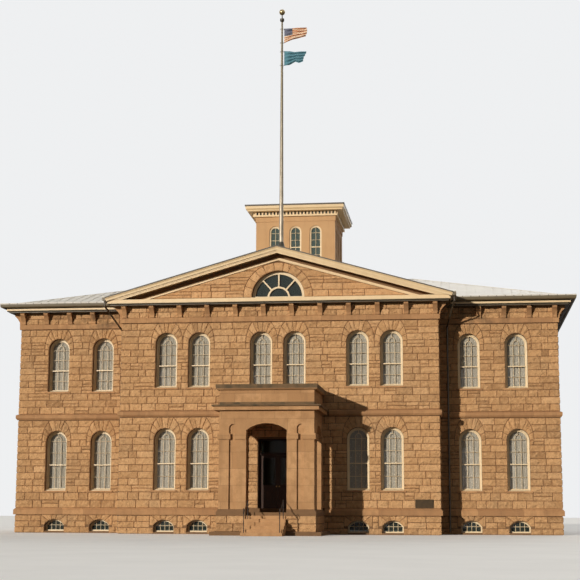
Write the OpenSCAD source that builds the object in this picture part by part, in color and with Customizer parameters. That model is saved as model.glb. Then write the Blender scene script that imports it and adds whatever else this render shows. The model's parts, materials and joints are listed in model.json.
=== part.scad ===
// Two-storey stone town hall with a gabled pavilion, hipped wings, an
// arched portico, a square cupola and a flagpole. Millimetres, +Z up,
// the front of the building looks along -Y.

/* [Plan] */
// Length over the side walls of the wings
building_l = 27430; // [26800:10:29000]
// Depth between the front and rear faces of the pavilion
building_d = 18290; // [17400:10:19400]
// Width of the gabled pavilion
pavilion_w = 15740; // [15200:10:16200]
// Distance that the wings stand back from the pavilion
setback = 1870; // [1500:10:2300]
// Thickness of the stone walls
wall_t = 600; // [500:10:700]

/* [Levels] */
// Top of the ground floor and of the door sill
floor_z = 1240; // [1200:5:1300]
// Top of the second storey's floor
second_floor_z = 6240; // [6100:10:6400]
// Top of the attic floor
attic_floor_z = 11150; // [10900:10:11400]
// Thickness of each floor
floor_t = 250; // [150:10:350]
// Underside of the water table
water_table_z = 910; // [860:10:940]
// Height of the water table
water_table_h = 340; // [260:10:380]
// Projection of the water table
water_table_p = 100; // [60:5:120]
// Underside of the belt course
belt_z = 5700; // [5600:10:5800]
// Height of the belt course
belt_h = 300; // [240:10:360]
// Projection of the belt course
belt_p = 130; // [80:5:130]
// Underside of the frieze band below the brackets
frieze_z = 10390; // [10340:10:10420]
// Height of the frieze band
frieze_h = 240; // [180:10:280]
// Projection of the frieze band
frieze_p = 90; // [60:5:110]

/* [Eaves and roof] */
// Underside of the eaves
eave_z = 11220; // [11150:10:11300]
// Projection of the eave moulding from the wall
eave_p = 640; // [560:10:680]
// Projection of the roof edge from the wall
roof_p = 755; // [720:5:800]
// Overhang of the roof beyond the gable walls
gable_p = 700; // [690:5:760]
// Height of the sloping fascia under the gabled roof
rake_fascia_h = 150; // [130:5:180]
// Thickness of the gabled roof's soffit
rake_soffit_t = 70; // [50:5:80]
// Depth of the sloping wall moulding's top below the gabled roof
rake_bed_drop = 295; // [270:5:320]
// Height of the sloping wall moulding
rake_bed_h = 130; // [100:5:150]
// Projection of the sloping wall moulding
rake_bed_p = 90; // [60:5:110]
// Top of the roof at its edge
roof_edge_z = 11600; // [11580:5:11680]
// Thickness of the roof at its edge
roof_edge_t = 100; // [80:5:120]
// Width of the roof's bearing on the eaves
roof_seat = 300; // [200:10:400]
// Rise of the hipped roof for one unit of run
hip_slope = 0.292; // [0.27:0.001:0.31]
// Rise of the gabled roof for one unit of run
gable_slope = 0.2845; // [0.27:0.0005:0.3]
// Width of the gutter
gutter_w = 160; // [130:5:180]
// Height of the gutter
gutter_h = 230; // [190:5:250]
// Thickness of the gutter's metal
gutter_t = 12; // [8:1:16]
// Radius of the downspouts
pipe_r = 45; // [35:1:55]
// Drop from the eaves to the downspouts' lower bend
spout_drop = 1000; // [800:10:1200]
// Width of an eave bracket
bracket_w = 220; // [160:5:260]
// Projection of an eave bracket
bracket_p = 410; // [340:10:480]
// Distance between the pavilion's brackets
pavilion_bracket_pitch = 1410; // [1200:10:1600]
// Distance between the wings' brackets
wing_bracket_pitch = 1250; // [1050:10:1400]

/* [Windows] */
// Width of a window opening
window_w = 1090; // [1000:10:1180]
// Sill of the first storey's windows
lower_sill_z = 2110; // [2000:10:2250]
// Crown of the first storey's windows
lower_crown_z = 5130; // [4950:10:5250]
// Sill of the second storey's windows
upper_sill_z = 7140; // [7000:10:7300]
// Crown of the second storey's windows
upper_crown_z = 9880; // [9700:10:10050]
// Distance of the pavilion's inner windows from the middle
pavilion_window_in = 3940; // [3800:10:4050]
// Distance of the pavilion's outer windows from the middle
pavilion_window_out = 5600; // [5500:10:5800]
// Distance of the two middle windows from the middle
middle_window_x = 830; // [750:10:900]
// Distance of the wings' inner windows from the middle
wing_window_in = 9334; // [9150:1:9500]
// Distance of the wings' outer windows from the middle
wing_window_out = 11675; // [11500:5:11850]
// Distance between the windows of the side walls
side_window_pitch = 3200; // [2600:10:3600]
// Depth of the frame behind the wall's face
reveal = 250; // [180:10:300]
// Width of the window frame
frame_w = 70; // [50:5:90]
// Depth of the window frame
frame_t = 110; // [80:5:130]
// Thickness of the glass
glass_t = 10; // [6:1:16]
// Height of the meeting rail over the first storey's sill
lower_meeting_h = 1300; // [1200:10:1500]
// Height of the meeting rail over the second storey's sill
upper_meeting_h = 1110; // [1000:10:1300]
// Width of the sashes' meeting rail
meeting_rail_w = 50; // [40:5:70]
// Distance of the curtains behind the glass
curtain_gap = 60; // [40:5:80]
// Thickness of the space that a curtain's gathers take up
curtain_t = 30; // [20:5:50]
// Height of a stone sill
sill_h = 90; // [60:5:120]
// Projection of a stone sill
sill_p = 70; // [40:5:100]
// Length of the sill's ends beside the opening
sill_end = 110; // [60:10:160]
// Width of a basement window
basement_w = 1020; // [900:10:1100]
// Bottom of a basement window
basement_sill_z = 90; // [60:10:150]
// Crown of a basement window
basement_crown_z = 670; // [600:10:760]
// Rise of a basement window's arch
basement_rise = 280; // [200:10:320]
// Radius of the half-round gable window
lunette_r = 1320; // [1200:10:1400]
// Sill of the half-round gable window
lunette_z = 11600; // [11580:10:11700]
// Width of the half-round window's frame
lunette_frame_w = 140; // [110:5:160]
// Width of the ring at the middle of the half-round window
lunette_hub_w = 85; // [60:5:100]
// Width of the half-round window's spokes
lunette_spoke_w = 70; // [50:5:80]

/* [Entrance] */
// Width of the doorway
doorway_w = 1900; // [1800:10:1980]
// Head of the doorway
doorway_z = 4600; // [4400:10:4800]
// Thickness of a door leaf
leaf_t = 50; // [40:1:60]
// Height of a door leaf
leaf_h = 2560; // [2400:10:2700]
// Clearance round a door leaf
leaf_gap = 5; // [5:0.5:8]
// Gap between the two door leaves
meeting_gap = 10; // [10:0.5:14]
// Gap under the door leaves
under_gap = 8; // [6:0.5:14]
// Width of a door leaf's stiles
stile_w = 130; // [100:5:160]
// Radius of a hinge's knuckle
knuckle_r = 8; // [6:0.5:9]
// Height of a hinge's knuckle
knuckle_h = 45; // [35:1:60]
// Gap between a knuckle and its neighbours
knuckle_gap = 5; // [5:0.5:8]
// Height of the doors' lock rail above the floor
lock_rail_h = 1060; // [950:10:1150]

/* [Plaque] */
// Distance of the plaque's near end from the middle of the front
plaque_x = 6670; // [6500:10:6900]
// Underside of the plaque
plaque_z = 1270; // [1260:10:1400]
// Length of the plaque
plaque_l = 880; // [700:10:950]
// Height of the plaque
plaque_h = 410; // [300:10:500]
// Thickness of the plaque
plaque_t = 40; // [20:1:60]

/* [Portico] */
// Width of the portico over its piers
portico_w = 4440; // [4300:10:4600]
// Depth of the portico in front of the pavilion
portico_d = 3720; // [3500:10:3900]
// Thickness of the portico's walls
portico_wall_t = 470; // [400:10:520]
// Width of the front archway
archway_w = 1890; // [1800:10:1960]
// Crown of the archways
archway_z = 5120; // [4950:10:5250]
// Rise of the archways
archway_rise = 320; // [240:10:420]
// Width of the side archways
side_archway_w = 1880; // [1700:10:2000]
// Width of the upright recess between the paired piers
slot_w = 340; // [280:10:380]
// Depth of the upright recess
slot_d = 100; // [60:5:140]
// Distance of the recess from the archway
inner_pier_w = 465; // [420:5:500]
// Underside of the piers' caps
cap_z = 4380; // [4250:10:4450]
// Height of the piers' caps
cap_h = 260; // [200:10:300]
// Projection of the piers' caps
cap_p = 70; // [40:5:90]
// Height of the base course under the piers
base_h = 290; // [240:10:320]
// Floor of the porch
porch_floor_z = 1050; // [1000:5:1080]
// Depth of a step
tread = 300; // [270:5:330]
// Number of steps in front of the porch floor
step_count = 6; // [5:1:7]
// Open joint between two steps
step_joint = 3; // [2:1:6]
// Height of the portico's cornice
portico_cornice_h = 280; // [240:10:320]
// Top of the parapet's wall
parapet_z = 6660; // [6500:10:6800]
// Thickness of the parapet
parapet_t = 300; // [240:10:360]
// Height of the parapet's coping
coping_h = 200; // [150:10:240]
// Projection of the parapet's coping
coping_p = 150; // [100:10:180]
// Radius of the handrails' bars
rail_r = 20; // [14:1:26]
// Height of the handrails above the steps
rail_h = 850; // [750:10:950]

/* [Cupola] */
// Width of the cupola
cupola_w = 4390; // [4200:10:4600]
// Thickness of the cupola's walls
cupola_wall_t = 250; // [180:10:300]
// Underside of the cupola's cornice
cupola_cornice_z = 17210; // [17150:10:17300]
// Projection of the cupola's cornice
cupola_eave_p = 530; // [450:10:600]
// Height of the cupola's frieze, which carries the dentils
cupola_frieze_h = 310; // [280:10:340]
// Thickness of the cupola's frieze board
cupola_frieze_t = 60; // [40:5:70]
// Height of the cupola's fascia
cupola_fascia_h = 300; // [260:10:340]
// Height of the rendered band under the cupola's cornice
cupola_band_h = 280; // [240:10:320]
// Projection of the rendered band
cupola_band_p = 30; // [20:5:40]
// Width of a cupola window
cupola_window_w = 670; // [600:10:740]
// Distance of the cupola windows' frames behind its wall's face
cupola_reveal = 60; // [30:5:90]
// Sill of the cupola windows
cupola_sill_z = 14620; // [14500:10:14800]
// Crown of the cupola windows
cupola_crown_z = 16680; // [16600:10:16800]
// Width of the cupola windows' frames
cupola_frame_w = 90; // [60:5:100]
// Distance between the cupola's windows
cupola_window_pitch = 1120; // [1050:10:1200]
// Width of a dentil
dentil_w = 90; // [70:5:100]
// Distance between the dentils
dentil_pitch = 190; // [170:5:220]

/* [Flagpole] */
// Distance of the flagpole behind the gable wall's face
pole_y = 1100; // [900:10:1300]
// Radius of the flagpole's foot
pole_foot_r = 115; // [90:1:130]
// Radius of the flagpole's top
pole_top_r = 45; // [35:1:60]
// Top of the flagpole
pole_z = 26690; // [25800:10:26690]
// Radius of the spindle under the ball
spindle_r = 28; // [20:1:34]
// Radius of the ball on the flagpole
ball_r = 155; // [130:5:170]
// Height of a flag along the pole
flag_h = 914; // [800:1:1000]
// Length of a hanging flag away from the pole
flag_l = 1230; // [1100:10:1400]
// Thickness of the space that a flag's folds take up
flag_t = 120; // [80:10:160]
// Top of the upper flag
upper_flag_z = 25960; // [25600:10:26100]
// Top of the lower flag
lower_flag_z = 24740; // [24400:10:24900]

/* [Hidden] */
$fn = 64;

stone = [0.62, 0.50, 0.38];
smooth_stone = [0.72, 0.56, 0.40];
cream = [0.85, 0.76, 0.60];
brown = [0.33, 0.22, 0.14];
glass = [0.12, 0.13, 0.12, 0.6];

half_l = building_l / 2;
half_p = pavilion_w / 2;
mid_depth = building_d / 2;
roof_base_z = roof_edge_z - roof_edge_t;
belt_joint_z = belt_z + belt_h / 2;
far = 2 * building_l;

// Heights of the two storeys' windows, and the window places of each wall
sills = [lower_sill_z, upper_sill_z];
crowns = [lower_crown_z, upper_crown_z];
pavilion_xs = [-pavilion_window_out, -pavilion_window_in, pavilion_window_in, pavilion_window_out];
pavilion_all_xs = concat(pavilion_xs, [-middle_window_x, middle_window_x]);
wing_xs = [wing_window_in, wing_window_out];
both_wing_xs = concat(wing_xs, -wing_xs);
side_xs = [for (i = [-1.5:1:1.5]) i * side_window_pitch];

// Each wall as its turn, its place and its lower, upper and basement windows
front_face = [0, 0, 0, pavilion_xs, pavilion_all_xs, pavilion_xs];
wing_face = [0, 0, setback, both_wing_xs, both_wing_xs, both_wing_xs];
rear_face = [180, 0, building_d, pavilion_all_xs, pavilion_all_xs, pavilion_all_xs];
rear_wing_face = [180, 0, building_d - setback, both_wing_xs, both_wing_xs, both_wing_xs];
left_face = [-90, -half_l, mid_depth, side_xs, side_xs, side_xs];
right_face = [90, half_l, mid_depth, side_xs, side_xs, side_xs];
faces = [front_face, wing_face, rear_face, rear_wing_face, left_face, right_face];

// Steps and porch
riser = porch_floor_z / (step_count + 1);
step_front_y = -portico_d - (step_count - 1) * tread;
half_portico = portico_w / 2;
half_archway = archway_w / 2;
plinth_top_z = water_table_z - 10;
base_top_z = plinth_top_z + base_h;
portico_top_z = belt_z - 10;
deck_z = portico_top_z + portico_cornice_h;
step_clearance = 5;

// Doorway
jamb_w = 80;
door_y = reveal + 60;
hinge_out = knuckle_gap + knuckle_r;
hinge_x = doorway_w / 2 - jamb_w - leaf_gap / 2;
hinge_y = door_y + hinge_out;
leaf_w = doorway_w / 2 - jamb_w - leaf_gap - meeting_gap / 2;
leaf_z = floor_z + under_gap;
transom_z = leaf_z + leaf_h + leaf_gap;
transom_h = 110;
lock_rail_z = floor_z + lock_rail_h;
glass_low_z = lock_rail_z + 60;
glass_high_z = leaf_z + leaf_h - stile_w;

// Cupola
half_c = cupola_w / 2;
cupola_frame_t = 70;
cupola_fascia_z = cupola_cornice_z + cupola_frieze_h;
cupola_roof_z = cupola_fascia_z + cupola_fascia_h;
cupola_slope = 0.19;

// The origin lies under the middle of the whole building's box
mid_y = (step_front_y + building_d + gable_p) / 2;
module at_origin() translate([0, -mid_y, 0]) children();

// Places and mirrors
module on_face(f) translate([f[1], f[2], 0]) rotate(f[0]) children();
module both_sides() {
  children();
  mirror([1, 0, 0]) children();
}
module both_ends() {
  children();
  translate([0, building_d, 0]) mirror([0, 1, 0]) children();
}

// An outline in X and Z that is carried back from y by a thickness t
module slab_at(y, t) translate([0, y + t, 0]) rotate([90, 0, 0]) linear_extrude(t) children();

// An outline of Y and Z that is carried along X by a length l
module slab_along(x, l) translate([x, 0, 0]) rotate([90, 0, 90]) linear_extrude(l) children();

// Opening whose head is a half circle
module round_headed(w, low, crown) {
  translate([-w / 2, low]) square([w, crown - w / 2 - low]);
  translate([0, crown - w / 2]) intersection() {
    circle(w / 2);
    translate([-w / 2, 0]) square([w, w / 2]);
  }
}
// Opening whose head is a flatter arc that rises by less than half its width
module segment_headed(w, low, crown, rise) {
  r = (w * w / 4 + rise * rise) / (2 * rise);
  below_spring = rise * 0.1;
  intersection() {
    translate([-w / 2, low]) square([w, crown + r - low]);
    union() {
      translate([0, crown - r]) circle(r);
      translate([-w, low - r]) square([2 * w, crown - rise - below_spring - low + r]);
    }
  }
}
module window_outline(s, low_gap = 0, inset = 0) {
  w = window_w - 2 * inset;
  round_headed(w, sills[s] + low_gap, crowns[s] - inset);
}
module basement_outline(inset = 0) {
  w = basement_w - 2 * inset;
  segment_headed(w, basement_sill_z + inset, basement_crown_z - inset, basement_rise * w / basement_w);
}
module window_cuts(xs, s) for (x = xs) translate([x, 0]) window_outline(s, -sill_h);
module basement_cuts(xs) for (x = xs) translate([x, 0]) basement_outline();

// Outline of the building at its walls' faces, grown by p
function plan(p) = let (a = half_p + p, b = half_l + p, f = -p, w = setback - p, d = building_d)
  [[-a, f], [a, f], [a, w], [b, w], [b, d - w], [a, d - w], [a, d - f],
   [-a, d - f], [-a, d - w], [-b, d - w], [-b, w], [-a, w]];

// Block with the same moulding on four sides; the moulding is a list of
// [projection, height] from its foot to its top
function swap_ends(list) = [for (i = [len(list) - 1:-1:0]) list[i]];
module moulded_block(hx, y0, y1, moulding) {
  back = swap_ends(moulding);
  intersection() {
    slab_at(y0 - far, y1 - y0 + 2 * far) polygon(concat(
      [for (m = moulding) [hx + m[0], m[1]]], [for (m = back) [-hx - m[0], m[1]]]));
    slab_along(-hx - far, 2 * (hx + far)) polygon(concat(
      [for (m = moulding) [y1 + m[0], m[1]]], [for (m = back) [y0 - m[0], m[1]]]));
  }
}
module moulded_building(moulding) {
  moulded_block(half_p, 0, building_d, moulding);
  moulded_block(half_l, setback, building_d - setback, moulding);
}
// Moulding that runs round the whole building outside the line at p
module moulded_ring(moulding, p = 0) {
  difference() {
    moulded_building(moulding);
    linear_extrude(far) polygon(plan(p));
  }
}
function arc(x, z, r, a0, a1, n = 5) =
  [for (i = [0:n]) let (a = a0 + (a1 - a0) * i / n) [x + r * cos(a), z + r * sin(a)]];

// Stone walls

module front_wall_side() {
  slab_at(0, wall_t) difference() {
    translate([doorway_w / 2, 0]) square([half_p - doorway_w / 2, belt_joint_z]);
    window_cuts(pavilion_xs, 0);
    basement_cuts(pavilion_xs);
  }
}
module front_wall_left() color(stone) at_origin() mirror([1, 0, 0]) front_wall_side();
module front_wall_right() color(stone) at_origin() front_wall_side();

module front_wall_upper() color(stone) at_origin() {
  slab_at(0, wall_t) difference() {
    union() {
      translate([-half_p, belt_joint_z]) square([pavilion_w, roof_base_z - belt_joint_z]);
      translate([-doorway_w / 2, doorway_z]) square([doorway_w, belt_joint_z - doorway_z + 1]);
    }
    window_cuts(pavilion_all_xs, 1);
  }
}

// Underside of the gabled roof over the walls, at a distance from the middle
function gable_under(x, drop = 0) =
  roof_base_z + gable_slope * (half_p + roof_p - roof_seat - x) - drop;

module gable_walls() color(stone) at_origin() both_ends() {
  slab_at(0, wall_t) difference() {
    polygon([[-half_p, roof_base_z], [half_p, roof_base_z], [half_p, gable_under(half_p)],
      [0, gable_under(0)], [-half_p, gable_under(half_p)]]);
    intersection() {
      translate([0, lunette_z]) circle(lunette_r);
      translate([-lunette_r, lunette_z]) square([2 * lunette_r, lunette_r]);
    }
  }
}

module pavilion_return_walls() color(stone) at_origin() both_ends() both_sides() {
  translate([half_p - wall_t, wall_t, 0]) cube([wall_t, setback, roof_base_z]);
}

module wing_wall() {
  both_sides() slab_at(setback, wall_t) difference() {
    translate([half_p, 0]) square([half_l - half_p, roof_base_z]);
    window_cuts(wing_xs, 0);
    window_cuts(wing_xs, 1);
    basement_cuts(wing_xs);
  }
}
module wing_front_walls() color(stone) at_origin() wing_wall();
module wing_rear_walls() color(stone) at_origin()
  translate([0, building_d, 0]) mirror([0, 1, 0]) wing_wall();

module side_wall() {
  l = building_d - 2 * setback - 2 * wall_t;
  slab_at(0, wall_t) difference() {
    translate([-l / 2, 0]) square([l, roof_base_z]);
    window_cuts(side_xs, 0);
    window_cuts(side_xs, 1);
    basement_cuts(side_xs);
  }
}
module side_wall_left() color(stone) at_origin() on_face(left_face) side_wall();
module side_wall_right() color(stone) at_origin() on_face(right_face) side_wall();

module rear_wall() color(stone) at_origin() on_face(rear_face) {
  slab_at(0, wall_t) difference() {
    translate([-half_p, 0]) square([pavilion_w, roof_base_z]);
    window_cuts(pavilion_all_xs, 0);
    window_cuts(pavilion_all_xs, 1);
    basement_cuts(pavilion_all_xs);
  }
}

// Bands of cut stone

// Space that the portico takes out of the bands on the front wall
module portico_gap(p) {
  translate([-half_portico - p, -far, 0]) cube([portico_w + 2 * p, far, far]);
}
module water_table() color(smooth_stone) at_origin() difference() {
  moulded_ring([[0, water_table_z], [water_table_p, water_table_z],
    [water_table_p, water_table_z + water_table_h * 0.7], [0, water_table_z + water_table_h]]);
  portico_gap(portico_base_p);
}
module belt_course() color(smooth_stone) at_origin() difference() {
  moulded_ring([[0, belt_z], [belt_p * 0.5, belt_z], [belt_p, belt_z + belt_h * 0.3],
    [belt_p, belt_z + belt_h * 0.8], [0, belt_z + belt_h]]);
  portico_gap(portico_cornice_p);
}
module frieze_band() color(smooth_stone) at_origin()
  moulded_ring([[0, frieze_z], [frieze_p, frieze_z],
    [frieze_p, frieze_z + frieze_h], [0, frieze_z + frieze_h]]);

module window_sill(s) {
  translate([-window_w / 2, -sill_p, sills[s] - sill_h]) cube([window_w, sill_p + wall_t, sill_h]);
  translate([-window_w / 2 - sill_end, -sill_p, sills[s] - sill_h])
    cube([window_w + 2 * sill_end, sill_p, sill_h]);
}
module window_sills() color(smooth_stone) at_origin() {
  for (f = faces) for (s = [0, 1]) for (x = f[3 + s])
    on_face(f) translate([x, 0, 0]) window_sill(s);
}

// Scrolled bracket: a lip, a hollow under it and a round foot
bracket_lip = 110;
bracket_foot_z = frieze_z + frieze_h;
module bracket() {
  hollow_r = bracket_p - bracket_lip - 70;
  foot_r = 45;
  slab_along(-bracket_w / 2, bracket_w) mirror([1, 0]) {
    difference() {
      translate([0, bracket_foot_z + foot_r])
        square([bracket_p - 50, eave_z - bracket_foot_z - foot_r - bracket_lip]);
      translate([bracket_p - 50, eave_z - bracket_lip - hollow_r]) circle(hollow_r);
      translate([bracket_p - 50 - hollow_r, bracket_foot_z])
        square([hollow_r, eave_z - bracket_lip - hollow_r - bracket_foot_z]);
    }
    translate([0, eave_z - bracket_lip]) square([bracket_p, bracket_lip]);
    translate([0, bracket_foot_z]) square([frieze_p, foot_r * 2]);
    translate([frieze_p, bracket_foot_z + foot_r]) circle(foot_r);
  }
}
// Brackets spaced evenly from one end of a wall's face to the other
module bracket_row(x0, x1, pitch) {
  inset = bracket_w / 2 + 10;
  n = max(1, round((x1 - x0 - 2 * inset) / pitch));
  for (i = [0:n]) translate([x0 + inset + (x1 - x0 - 2 * inset) * i / n, 0, 0]) bracket();
}
module eave_brackets() color(smooth_stone) at_origin() {
  both_ends() {
    bracket_row(-half_p, half_p, pavilion_bracket_pitch);
    both_sides() {
      // The wing's inner bracket stands clear of the pavilion's eaves
      translate([0, setback, 0])
        bracket_row(half_p + roof_p + wing_bracket_pitch * 0.9, half_l, wing_bracket_pitch);
      translate([half_p, 0, 0]) rotate(90) {
        translate([bracket_w / 2 + 10, 0, 0]) bracket();
        translate([setback - eave_p - bracket_w, 0, 0]) bracket();
      }
    }
  }
  for (f = [left_face, right_face]) {
    l = building_d - 2 * setback;
    on_face(f) bracket_row(-l / 2, l / 2, wing_bracket_pitch);
  }
}

// Eaves, cornices and gutters

// The cornice's soffit board, its cove and the fillet under the roof's edge
eave_h = roof_base_z - eave_z;
soffit_h = eave_h * 0.18;
cove_r = eave_h * 0.21;
fillet_z = eave_z + eave_h * 0.64;
module eave_cornice() color(cream) at_origin()
  moulded_ring(concat(
    [[0, eave_z], [eave_p - 2 * soffit_h, eave_z], [eave_p - 2 * soffit_h, eave_z + soffit_h]],
    arc(eave_p - cove_r, eave_z + soffit_h + cove_r, cove_r, -135, -90, 3),
    [[eave_p - cove_r / 3, eave_z + soffit_h], [eave_p, eave_z + soffit_h * 1.6],
     [eave_p, fillet_z], [eave_p - cove_r / 2, fillet_z],
     [eave_p - cove_r / 2, roof_base_z], [0, roof_base_z]]));

// Band of even depth that climbs both slopes under the gabled roof
module rake(depth) {
  reach = half_p + roof_p - roof_seat;
  polygon([[-reach, roof_base_z], [0, gable_under(0)], [reach, roof_base_z],
    [reach - depth / gable_slope, roof_base_z], [0, gable_under(0, depth)],
    [depth / gable_slope - reach, roof_base_z]]);
}
module raking_cornices() color(cream) at_origin() both_ends() {
  slab_at(-eave_p, 60) rake(rake_fascia_h);
  slab_at(-eave_p - 20, 20) rake(rake_fascia_h / 2);
  slab_at(-eave_p + 60, eave_p - 120) rake(rake_soffit_t);
  slab_at(-60, 60) rake(rake_fascia_h / 2);
  // The moulding on the wall follows the slopes below the soffit
  slab_at(-rake_bed_p, rake_bed_p) difference() {
    rake(rake_bed_drop + rake_bed_h);
    rake(rake_bed_drop);
  }
}

gutter_z = roof_edge_z + 70;
gutter_foot = gutter_z - gutter_h;
// Ogee gutter outline, shrunk by t for its inside
function gutter_curve(t) = concat(
  [[roof_p + t, gutter_foot + t], [roof_p + gutter_w * 0.5 - t, gutter_foot + t]],
  arc(roof_p + gutter_w * 0.5, gutter_foot + gutter_h * 0.3 + t, gutter_h * 0.3 - t, -70, 0, 4),
  [[roof_p + gutter_w - t, gutter_foot + gutter_h * 0.55], [roof_p + gutter_w - t, gutter_z + t]]);
module gutter_body(t, p) {
  difference() {
    moulded_ring(concat([[0, gutter_foot + t]], gutter_curve(t), [[0, gutter_z + t]]), p);
    // The gutters end flush with the gabled roof's edges
    both_ends() translate([-far, -far - gable_p - t, 0]) cube([2 * far, far, far]);
  }
}
module gutters() color(brown) at_origin() difference() {
  gutter_body(0, roof_p);
  difference() {
    gutter_body(gutter_t, roof_p + gutter_t);
    both_ends() translate([-far, -far - gable_p + gutter_t, 0]) cube([2 * far, far, far]);
  }
}

// Round bar or pipe from a to b
module bar(a, b, r) {
  v = b - a;
  translate(a) rotate([0, acos(v[2] / norm(v)), atan2(v[1], v[0])]) cylinder(norm(v), r, r);
}
module pipe_run(points, r) {
  for (i = [0:len(points) - 2]) bar(points[i], points[i + 1], r);
  // Round collars cover the bends
  for (i = [1:len(points) - 2]) translate(points[i]) sphere(r * 1.2);
}
spout_x = half_p + belt_p + pipe_r + 250;
spout_y = setback - belt_p - pipe_r - 5;
spout_foot_z = 150;
spout_bend_z = eave_z - spout_drop;
module downspouts() color(cream) at_origin() both_ends() both_sides() {
  outlet = [half_p + roof_p + gutter_w * 0.4, 200 - gable_p, gutter_foot];
  pipe_run([outlet, outlet - [0, 0, gutter_h], [spout_x, spout_y, spout_bend_z],
    [spout_x, spout_y, spout_foot_z]], pipe_r);
  // Stand-offs hold the pipe to the wing's wall
  standoffs = 4;
  for (i = [1:standoffs])
    translate([spout_x - 15, spout_y, spout_bend_z * (i - 0.3) / standoffs])
      cube([30, setback - spout_y, 40]);
}

// Roof

module hip_solid(drop, seat) {
  x = half_l + roof_p - seat;
  y0 = setback - roof_p + seat;
  y1 = building_d - y0;
  low = roof_base_z - drop;
  high = seat > 0 ? roof_base_z : roof_edge_z;
  intersection() {
    slab_along(-x, 2 * x) polygon([[y0, low], [y0, high],
      [mid_depth, high + hip_slope * (mid_depth - y0)], [y1, high], [y1, low]]);
    slab_at(y0, y1 - y0) polygon([[-x, low], [-x, high], [0, high + hip_slope * x],
      [x, high], [x, low]]);
  }
}
module gable_solid(drop, seat) {
  x = half_p + roof_p - seat;
  over = seat > 0 ? gable_p + drop : gable_p;
  low = roof_base_z - drop;
  high = seat > 0 ? roof_base_z : roof_edge_z;
  slab_at(-over, building_d + 2 * over)
    polygon([[-x, low], [-x, high], [0, high + gable_slope * x], [x, high], [x, low]]);
}
module roof_shell() {
  difference() {
    union() {
      hip_solid(0, 0);
      gable_solid(0, 0);
    }
    hip_solid(10, roof_seat);
    gable_solid(10, roof_seat);
    cupola_core(half_c);
  }
}
module cupola_core(h) translate([-h, mid_depth - h, 0]) cube([2 * h, 2 * h, far]);

// Plan of one quarter of the roof: the valleys run from the four inner
// corners of the eaves to the cupola
valley_x = half_p + roof_p;
valley_y = setback - roof_p;
module front_quarter() polygon([[-valley_x, -far], [valley_x, -far], [valley_x, valley_y],
  [0, mid_depth], [-valley_x, valley_y]]);
module side_quarter() polygon([[valley_x, valley_y], [far, valley_y],
  [far, building_d - valley_y], [valley_x, building_d - valley_y], [0, mid_depth]]);

module gable_roof_front() color([0.86, 0.86, 0.85]) at_origin() intersection() {
  roof_shell();
  linear_extrude(far) front_quarter();
}
module gable_roof_rear() color([0.86, 0.86, 0.85]) at_origin() intersection() {
  roof_shell();
  linear_extrude(far) translate([0, building_d]) mirror([0, 1]) front_quarter();
}
module hip_roof_right() color([0.86, 0.86, 0.85]) at_origin() intersection() {
  roof_shell();
  linear_extrude(far) side_quarter();
}
module hip_roof_left() color([0.86, 0.86, 0.85]) at_origin() intersection() {
  roof_shell();
  linear_extrude(far) mirror([1, 0]) side_quarter();
}

// Cupola

module cupola_face(i) translate([0, mid_depth, 0]) rotate(90 * i) translate([0, -half_c, 0]) children();
cupola_xs = [-cupola_window_pitch, 0, cupola_window_pitch];
module cupola_outline(inset = 0) {
  w = cupola_window_w - 2 * inset;
  round_headed(w, cupola_sill_z + inset, cupola_crown_z - inset);
}
module cupola_walls() color(smooth_stone) at_origin() {
  difference() {
    union() {
      translate([-half_c, mid_depth - half_c, attic_floor_z])
        cube([cupola_w, cupola_w, cupola_fascia_z - attic_floor_z]);
      band_w = cupola_w + 2 * cupola_band_p;
      translate([-band_w / 2, mid_depth - band_w / 2, cupola_cornice_z - cupola_band_h])
        cube([band_w, band_w, cupola_band_h]);
    }
    cupola_core(half_c - cupola_wall_t);
    for (i = [0:3]) cupola_face(i) for (x = cupola_xs)
      translate([x, 0, 0]) slab_at(-10, cupola_wall_t + 20) cupola_outline();
  }
}
module cupola_band(moulding) {
  difference() {
    moulded_block(half_c, mid_depth - half_c, mid_depth + half_c, moulding);
    cupola_core(half_c);
  }
}
// Row of dentils along one side, starting at the corner
dentil_reach = cupola_frieze_t + dentil_w;
module dentil_row() {
  l = cupola_w + 2 * cupola_frieze_t;
  n = floor((l - dentil_w) / dentil_pitch);
  for (i = [0:n]) translate([-l / 2 + (l - dentil_w) * i / n, -dentil_reach])
    square([dentil_w, dentil_w + 1]);
}
module cupola_cornice() color(cream) at_origin() {
  cove = cupola_fascia_h / 5;
  soffit_z = cupola_fascia_z - cupola_fascia_h * 2 / 15;
  bed = cupola_eave_p - cove * 1.5;
  // The fillet under the dentils, the frieze board behind them, the soffit and the fascia
  dentil_z = cupola_cornice_z + cupola_frieze_h * 0.3;
  cupola_band(concat(
    [[0, cupola_cornice_z], [dentil_reach, cupola_cornice_z], [dentil_reach, dentil_z],
     [cupola_frieze_t, dentil_z], [cupola_frieze_t, soffit_z], [bed, soffit_z], [bed, cupola_fascia_z]],
    arc(cupola_eave_p - cove, cupola_fascia_z + cove * 1.8, cove, -90, 0, 4),
    [[cupola_eave_p, cupola_roof_z], [0, cupola_roof_z]]));
  translate([0, 0, dentil_z - 1]) linear_extrude(soffit_z - dentil_z + 2)
    for (i = [0:3]) translate([0, mid_depth]) rotate(90 * i) translate([0, -half_c]) dentil_row();
}
module cupola_gable(x, rise)
  polygon([[-x, cupola_roof_z], [0, cupola_roof_z + rise], [x, cupola_roof_z]]);
module cupola_roof() color([0.80, 0.80, 0.79]) at_origin() {
  x = half_c + cupola_eave_p;
  rise = x * cupola_slope;
  intersection() {
    slab_at(mid_depth - x, 2 * x) cupola_gable(x, rise);
    translate([0, mid_depth, 0]) slab_along(-x, 2 * x) cupola_gable(x, rise);
  }
}

// Floors

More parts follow.
